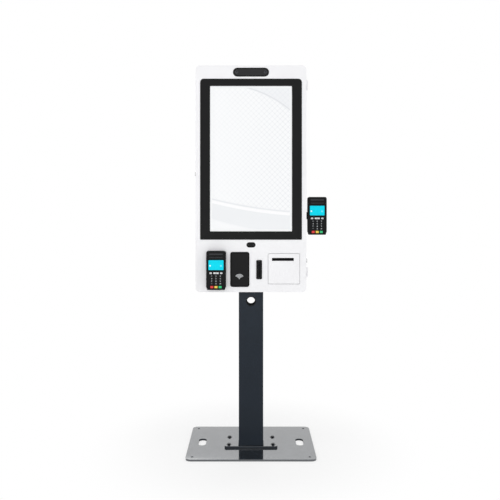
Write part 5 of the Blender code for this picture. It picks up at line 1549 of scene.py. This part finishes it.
    def add_character(self, bm: bmesh.types.BMesh, character: str, x: float, z: float) -> None:
        """Add one printed character, standing on a key's top.

        Args:
            bm: The mesh.
            character: What is printed.
            x: Its centre.
            z: Its centre.
        """
        curve = bpy.data.curves.new("character", "FONT")
        curve.body = character
        curve.size = self.digit_size
        curve.extrude = self.digit_thick
        curve.offset = self.digit_weight
        curve.resolution_u = 3
        holder = bpy.data.objects.new("character", curve)
        mesh = bpy.data.meshes.new_from_object(holder)
        bpy.data.objects.remove(holder)
        bpy.data.curves.remove(curve)
        part = bmesh.new()
        part.from_mesh(mesh)
        bpy.data.meshes.remove(mesh)
        bmesh.ops.remove_doubles(part, verts=part.verts, dist=MERGE / 10)
        bmesh.ops.rotate(part, verts=part.verts, matrix=Matrix.Rotation(math.pi / 2, 3, "X"))
        xs = [vert.co.x for vert in part.verts]
        zs = [vert.co.z for vert in part.verts]
        seat = self.key_top() - self.digit_thick * self.digit_stand
        shift = (x - (min(xs) + max(xs)) / 2, seat, z - (min(zs) + max(zs)) / 2)
        bmesh.ops.translate(part, verts=part.verts, vec=shift)
        merge_into(bm, part)

    def build_lid_ridges(self) -> None:
        """Ribbed grip and a raised bar on the paper lid."""
        low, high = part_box(self.node("paper_lid"))
        seat = low.y + SKIN / 3
        half = self.ridge_height / 2
        ridge_z, bar_z = (self.foot + rise for rise in self.ridge_rises)
        bars = bmesh.new()
        add_block(bars, (low.x + self.bar_inset, low.y - self.bar_reach, bar_z - half),
                  (high.x - self.bar_inset, seat, bar_z + half), Axis.Y, *self.bar_rounding)
        step = (high.x - low.x - 2 * self.ridge_inset) / self.ridge_count
        for rib in range(self.ridge_count):
            x = low.x + self.ridge_inset + step * (rib + 0.5)
            add_block(bars, (x - step * self.ridge_share, low.y - self.ridge_reach, ridge_z - half),
                      (x + step * self.ridge_share, seat, ridge_z + half), Axis.Y, *self.ridge_rounding, 2)
        finish_piece(self.node("lid_ridges"), bars, LID_GREY, f"{self.label}_lid")

    def build_window_frame(self) -> None:
        """Narrow raised rim round the lit window."""
        low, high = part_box(self.node("window"))
        rim = self.rim
        bm = bmesh.new()
        front = self.front - self.rim_reach
        back = self.front + SKIN / 3
        for z_low, z_high in ((low.z - 2 * rim, low.z - rim), (high.z + rim, high.z + 2 * rim)):
            add_block(bm, (low.x - 2 * rim, front, z_low), (high.x + 2 * rim, back, z_high), Axis.Y, 0.0,
                      self.rim_softness)
        for x_low, x_high in ((low.x - 2 * rim, low.x - rim), (high.x + rim, high.x + 2 * rim)):
            add_block(bm, (x_low, front, low.z - rim), (x_high, back, high.z + rim), Axis.Y, 0.0,
                      self.rim_softness)
        finish_piece(self.node("window_rim"), bm, TERMINAL_FACE, self.body)

    def build_card_mouth(self) -> None:
        """Black blocks of painted shade that stand in for the card mouth along the terminal's left side and the chip
        mouth under its foot.
        """
        left, right = self.low.x - SKIN / 3, self.low.x + self.mouth_depth
        bm = bmesh.new()
        add_block(bm, (left, self.front + self.swipe_mouth[0], self.foot + self.swipe_insets[0]),
                  (right, self.front + self.swipe_mouth[1], self.high.z - self.swipe_insets[1]), Axis.X,
                  self.mouth_corners[0])
        add_block(bm, (self.middle - self.chip_half, self.front + self.chip_mouth[0], self.foot - SKIN / 3),
                  (self.middle + self.chip_half, self.front + self.chip_mouth[1], self.foot + self.mouth_depth),
                  Axis.Z, self.mouth_corners[1])
        finish_piece(self.node("card_mouths"), bm, BLACK_AND_HOLE_SHADE, self.body)

    def build_back_screws(self) -> None:
        """Screws at the back cover's corners, clear of the cradle."""
        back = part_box(self.node("back_cover"))[1].y
        bm = bmesh.new()
        for x, z in self.screw_places:
            SUNK_SCREW.add(bm, Axis.Y, (self.middle + x, self.foot + z), back)
        finish_piece(self.node("cover_screws"), bm, ZINC, self.body)


@dataclass
class SideBracket:
    """Bracket on the right wall and its tilt pin."""

    edge: float = 0.0008
    foot_thick: float = 0.0033
    screw_inset: float = 0.014
    screw_reach: float = 0.0265

    def build(self) -> None:
        """Build and dress the bracket."""
        edged("side_bracket", "side_bracket_finished", MATT_BLACK, self.edge)
        edged("side_tilt_pin", "side_tilt_pin_finished", ZINC, self.edge / 2)
        low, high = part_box("side_bracket")
        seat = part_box("rear_housing")[1].x + self.foot_thick
        bm = bmesh.new()
        for end in (-1, 1):
            z = (low.z + high.z) / 2 + end * self.screw_reach
            BRACKET_SCREW.add(bm, Axis.X, (high.y - self.screw_inset, z), seat)
        finish_piece("bracket_screws", bm, ZINC, "stand")


# Inside and back -------------------------------------------------------------


@dataclass
class Interior:
    """Computer, power supply and fan in the housing."""

    edge: float = 0.0010
    fan_edge: float = 0.0004
    fin_count: int = 21
    fin_height: float = 0.0050
    fin_thick: float = 0.0016
    fin_inset: float = 0.010
    fin_foot: float = 0.030
    fin_rounding: tuple[float, float, int] = (0.0030, 0.0003, 3)
    port_sizes: tuple[tuple[float, float], ...] = ((0.016, 0.006), (0.016, 0.006), (0.014, 0.010), (0.020, 0.006),
                                                   (0.008, 0.008))
    port_reach: float = 0.0012
    port_wall: float = 0.0012
    port_rounding: tuple[float, float] = (0.001, 0.0003)
    port_mouth_corner: float = 0.0005
    vent_grid: tuple[int, int] = (9, 5)
    vent_start: tuple[float, float] = (0.030, 0.012)
    vent_pitch: tuple[float, float] = (0.012, 0.014)
    vent_half: tuple[float, float] = (0.004, 0.0014)
    vent_corner: float = 0.0013
    strip_x: tuple[float, float] = (0.016, 0.004)
    strip_reach: float = 0.0060
    strip_inset: float = 0.008
    strip_rounding: tuple[float, float] = (0.001, 0.0004)
    clamp_count: int = 6
    clamp_start: tuple[float, float] = (0.010, 0.0145)
    clamp_pitch: float = 0.0102
    guard_radii: tuple[float, ...] = (0.0075, 0.0145, 0.0215, 0.0285)
    guard_wire: float = 0.0008
    guard_spoke: float = 0.00072
    fan_screw_reach: float = 0.025

    def build(self) -> None:
        """Build and dress everything inside."""
        edged("computer_box", "computer_box_finished", CASE_GREY, self.edge)
        edged("power_supply", "power_supply_finished", ZINC, self.edge / 2)
        edged("fan_frame", "fan_frame_moulded", MATT_BLACK, self.fan_edge)
        edged("fan_rotor", "fan_rotor_moulded", MATT_BLACK, self.fan_edge / 2)
        self.build_fins()
        self.build_ports()
        self.build_supply_vents()
        self.build_guard()

    def build_fins(self) -> None:
        """Cooling fins on the computer's front."""
        low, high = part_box("computer_box")
        bm = bmesh.new()
        pitch = (high.x - low.x - 2 * self.fin_inset) / (self.fin_count - 1)
        for fin in range(self.fin_count):
            x = low.x + self.fin_inset + pitch * fin
            add_block(bm, (x - self.fin_thick / 2, low.y - self.fin_height, low.z + self.fin_foot),
                      (x + self.fin_thick / 2, low.y + SKIN / 3, high.z - self.fin_inset), Axis.X,
                      *self.fin_rounding)
        finish_piece("computer_fins", bm, CASE_GREY, "stand")

    def build_ports(self) -> None:
        """Sockets along the computer's lower edge, each with a black patch of painted shade over its mouth."""
        low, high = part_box("computer_box")
        pitch = (high.x - low.x) / len(self.port_sizes)
        shells = bmesh.new()
        port_shade = bmesh.new()
        y = (low.y + high.y) / 2
        end = low.z - self.port_reach
        for number, (wide, tall) in enumerate(self.port_sizes):
            x = low.x + pitch * (number + 0.5)
            add_block(shells, (x - wide / 2, y - tall / 2, end), (x + wide / 2, y + tall / 2, low.z + SKIN / 3),
                      Axis.Z, *self.port_rounding)
            # Black patch over the socket's mouth: painted shade of its inside.
            half_x, half_y = wide / 2 - self.port_wall, tall / 2 - self.port_wall
            add_block(port_shade, (x - half_x, y - half_y, end - 2 * HAIR), (x + half_x, y + half_y, end + 2 * HAIR),
                      Axis.Z, self.port_mouth_corner)
        finish_piece("computer_ports", shells, NICKEL, "stand")
        finish_piece("computer_port_mouths", port_shade, BLACK_AND_HOLE_SHADE, "stand")

    def build_supply_vents(self) -> None:
        """Thin black patches of painted shade that stand in for the power supply's slots, and a terminal strip on it.
        """
        low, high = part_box("power_supply")
        slot_shade = bmesh.new()
        half_x, half_z = self.vent_half
        for column, row in product(*map(range, self.vent_grid)):
            x = low.x + self.vent_start[0] + self.vent_pitch[0] * column
            z = low.z + self.vent_start[1] + self.vent_pitch[1] * row
            add_block(slot_shade, (x - half_x, low.y - SKIN / 3, z - half_z), (x + half_x, low.y + SKIN, z + half_z),
                      Axis.Y, self.vent_corner)
        finish_piece("supply_slots", slot_shade, BLACK_AND_HOLE_SHADE, "stand")
        strip = bmesh.new()
        heads = bmesh.new()
        add_block(strip, (high.x - self.strip_x[0], low.y - self.strip_reach, low.z + self.strip_inset),
                  (high.x - self.strip_x[1], low.y + SKIN / 3, high.z - self.strip_inset), Axis.X,
                  *self.strip_rounding)
        for number in range(self.clamp_count):
            z = low.z + self.clamp_start[1] + self.clamp_pitch * number
            CLAMP_SCREW.add(heads, Axis.Y, (high.x - self.clamp_start[0], z), low.y)
        finish_piece("supply_terminal_strip", strip, MATT_BLACK, "stand")
        finish_piece("supply_terminal_screws", heads, ZINC, "stand")

    def build_guard(self) -> None:
        """Wire guard over the fan's hole, with its four screws."""
        middle = centre_of("fan_frame")
        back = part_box("housing_back")[1].y + self.guard_wire + SKIN / 2
        bm = bmesh.new()
        for radius in self.guard_radii:
            add_ring(bm, Axis.Y, (middle.x, middle.z), back, radius, self.guard_wire, 44, 8)
        reach = self.guard_radii[-1]
        wire = self.guard_spoke
        add_rod(bm, Axis.X, (back, middle.z), wire, middle.x - reach, middle.x + reach, 0.0, 10)
        add_rod(bm, Axis.Z, (middle.x, back), wire, middle.z - reach, middle.z + reach, 0.0, 10)
        finish_piece("fan_guard", bm, ZINC, "stand")
        screws = bmesh.new()
        for side, end in CORNERS:
            place = (middle.x + side * self.fan_screw_reach, middle.z + end * self.fan_screw_reach)
            FAN_SCREW.add(screws, Axis.Y, place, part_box("housing_back")[1].y + SKIN)
        finish_piece("fan_screws", screws, ZINC, "stand")


@dataclass
class PowerInlet:
    """Mains inlet, its pins and the rocker switch."""

    edge: float = 0.0004
    pin_size: tuple[float, float] = (0.0020, 0.0040)
    pin_places: tuple[tuple[float, float], ...] = ((-0.0070, -0.0015), (0.0, 0.0015), (0.0070, -0.0015))
    pin_ends: tuple[float, float] = (0.0143, 0.0030)
    pin_rim: float = 0.0004
    socket_shift: float = 0.011
    rocker_tilt: float = -5.0
    rocker_rise: float = 0.00375
    mark_reach: float = 0.0052
    bar_half: tuple[float, float] = (0.0004, 0.0017)
    bar_corner: float = 0.0003
    ring_radius: float = 0.0015
    ring_thick: float = 0.0003

    def build(self) -> None:
        """Build and dress the inlet."""
        edged("power_inlet", "power_inlet_moulded", MATT_BLACK, self.edge)
        edged("power_switch", "power_switch_moulded", GLOSS_BLACK, self.edge)
        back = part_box("power_inlet")[1].y
        middle = centre_of("power_inlet")
        bm = bmesh.new()
        wide, tall = self.pin_size
        for x, z in self.pin_places:
            x += middle.x - self.socket_shift
            z += middle.z
            add_block(bm, (x - wide / 2, back - self.pin_ends[0], z - tall / 2),
                      (x + wide / 2, back - self.pin_ends[1], z + tall / 2), Axis.Y, 0.0, self.pin_rim)
        finish_piece("socket_pins", bm, NICKEL, "stand")
        self.build_rocker_marks()

    def build_rocker_marks(self) -> None:
        """Plain on and off marks on the rocker's tilted face."""
        joints = frame["record"]["behaviour"]["joints"]
        pivot = Vector(next(joint["pos_m"] for joint in joints if joint["name"] == "power_switch_rock"))
        face = pivot.y + self.rocker_rise
        half_x, half_z = self.bar_half
        bm = bmesh.new()
        add_block(bm, (pivot.x - half_x, face - SKIN / 3, pivot.z + self.mark_reach - half_z),
                  (pivot.x + half_x, face + SKIN / 3, pivot.z + self.mark_reach + half_z), Axis.Y,
                  self.bar_corner)
        add_ring(bm, Axis.Y, (pivot.x, pivot.z - self.mark_reach), face, self.ring_radius, self.ring_thick, 24, 6)
        tilt = Matrix.Rotation(math.radians(self.rocker_tilt), 3, "X")
        bmesh.ops.rotate(bm, cent=pivot, matrix=tilt, verts=bm.verts)
        finish_piece("rocker_marks", bm, PRINT_WHITE, "switch")


# Studio ----------------------------------------------------------------------


@dataclass
class Lamp:
    """One soft rectangular lamp."""

    name: str
    place: tuple[float, float, float]
    target: tuple[float, float, float]
    size: tuple[float, float]
    power: float

    def build(self) -> None:
        """Hang the lamp."""
        light = bpy.data.lights.new(self.name, "AREA")
        light.shape = "RECTANGLE"
        light.size, light.size_y = self.size
        light.energy = self.power
        lamp = bpy.data.objects.new(self.name, light)
        lamp.location = self.place
        lamp.rotation_euler = (Vector(self.target) - Vector(self.place)).to_track_quat("-Z", "Y").to_euler()
        bpy.context.scene.collection.objects.link(lamp)


@dataclass
class Studio:
    """Pale floor, plain surroundings, soft lamps and the camera."""

    floor_reach: float = 30.0
    fade_start: float = 0.30
    fade_end: float = 0.75
    floor_shade: float = 0.95
    near_white: float = 0.6
    ambient: float = 0.60
    camera_place: tuple[float, float, float] = (0.0, -2.7610, 1.032)
    lens: float = 45.7
    sensor: float = 36.0
    floor_change: float = 0.995
    floor_speckle: tuple[float, float] = (60.0, 3.0)
    shift: tuple[float, float] = (-0.002, -0.087)
    lamps: tuple[Lamp, ...] = (
        Lamp("front lamp", (-0.4, -3.2, 1.8), (0.0, 0.0, 0.95), (2.6, 2.2), 20.5),
        Lamp("low front lamp", (-0.4, -3.0, 0.5), (0.0, 0.0, 0.7), (2.4, 0.8), 4.5),
        Lamp("right lamp", (2.8, -1.2, 1.9), (0.0, 0.0, 1.0), (1.6, 2.2), 10.5),
        Lamp("left lamp", (-2.8, -1.0, 1.6), (0.0, 0.0, 1.0), (1.6, 2.2), 11.0),
        Lamp("back lamp", (0.4, 3.0, 2.4), (0.0, 0.0, 1.0), (2.4, 2.0), 18.0),
        Lamp("top lamp", (0.0, 0.2, 3.6), (0.0, 0.0, 0.0), (2.4, 2.4), 16.0),
    )

    def build(self) -> None:
        """Set the scene up."""
        self.build_floor()
        self.build_world()
        for lamp in self.lamps:
            lamp.build()
        self.build_camera()
        bpy.context.scene.view_settings.view_transform = "Standard"

    def seen_directly(self, nodes: bpy.types.NodeTree) -> bpy.types.NodeSocket:
        """1 for camera, mirror and see-through rays.

        Args:
            nodes: The tree that asks.

        Returns:
            The factor.
        """
        path = nodes.nodes.new("ShaderNodeLightPath")
        value = path.outputs["Is Camera Ray"]
        for output in ("Is Glossy Ray", "Is Transmission Ray"):
            larger = nodes.nodes.new("ShaderNodeMath")
            larger.operation = "MAXIMUM"
            nodes.links.new(value, larger.inputs[0])
            nodes.links.new(path.outputs[output], larger.inputs[1])
            value = larger.outputs[0]
        return value

    def build_floor(self) -> None:
        """Wide pale floor that keeps the shadow near the stand and turns plain white further out."""
        bm = bmesh.new()
        bmesh.ops.create_grid(bm, x_segments=1, y_segments=1, size=self.floor_reach)
        mesh = bpy.data.meshes.new("floor")
        bm.to_mesh(mesh)
        bm.free()
        floor = bpy.data.objects.new("floor", mesh)
        bpy.context.scene.collection.objects.link(floor)
        nodes = Nodes("pale floor")
        tone = self.floor_shade
        nodes.paint(nodes.blend(nodes.mottle(*self.floor_speckle), (tone * self.floor_change,) * 3, (tone,) * 3))
        nodes.set(Roughness=0.85, Specular_IOR_Level=0.1)
        length = nodes.add("ShaderNodeVectorMath", operation="LENGTH")
        nodes.link(nodes.place, length, 0)
        away = nodes.add("ShaderNodeMapRange", interpolation_type="SMOOTHSTEP", From_Min=self.fade_start,
                         From_Max=self.fade_end, To_Min=self.near_white, To_Max=1.0)
        nodes.link(length.outputs["Value"], away, "Value")
        seen = nodes.sum_of("MULTIPLY", self.seen_directly(nodes.tree), away.outputs["Result"])
        white = nodes.add("ShaderNodeEmission", Color=(1.0, 1.0, 1.0, 1.0), Strength=1.0)
        mix = nodes.add("ShaderNodeMixShader")
        nodes.link(seen, mix, 0)
        nodes.link(nodes.shader.outputs[0], mix, 1)
        nodes.link(white.outputs[0], mix, 2)
        nodes.link(mix.outputs[0], nodes.tree.nodes["Material Output"], "Surface")
        mesh.materials.append(nodes.material)

    def build_world(self) -> None:
        """White surroundings to the eye and in reflections, a soft grey as light."""
        world = bpy.data.worlds.new("surroundings")
        world.use_nodes = True
        bpy.context.scene.world = world
        tree = world.node_tree
        back = tree.nodes["Background"]
        seen = self.seen_directly(tree)
        strength = tree.nodes.new("ShaderNodeMapRange")
        strength.inputs["To Min"].default_value = self.ambient
        strength.inputs["To Max"].default_value = 1.0
        tree.links.new(seen, strength.inputs["Value"])
        tree.links.new(strength.outputs["Result"], back.inputs["Strength"])
        back.inputs["Color"].default_value = (1.0, 1.0, 1.0, 1.0)

    def build_camera(self) -> None:
        """Level camera in front of the screen."""
        data = bpy.data.cameras.new("camera")
        data.lens = self.lens
        data.sensor_width = self.sensor
        data.shift_x, data.shift_y = self.shift
        camera = bpy.data.objects.new("camera", data)
        camera.location = self.camera_place
        camera.rotation_euler = (math.pi / 2, 0.0, 0.0)
        bpy.context.scene.collection.objects.link(camera)
        bpy.context.scene.camera = camera


def main() -> None:
    """Build every sub-assembly in order."""
    logging.basicConfig(level=logging.INFO, format="%(name)s: %(message)s")
    assemblies = (
        Stand(),
        Head(),
        Display(),
        FrontFittings(),
        ReceiptPrinter(),
        CardTerminal("front", "door"),
        CardTerminal("side", "side_terminal"),
        SideBracket(),
        Interior(),
        PowerInlet(),
        Studio(),
    )
    for assembly in assemblies:
        LOG.info("building %s", type(assembly).__name__)
        assembly.build()


if __name__ == "__main__":
    main()
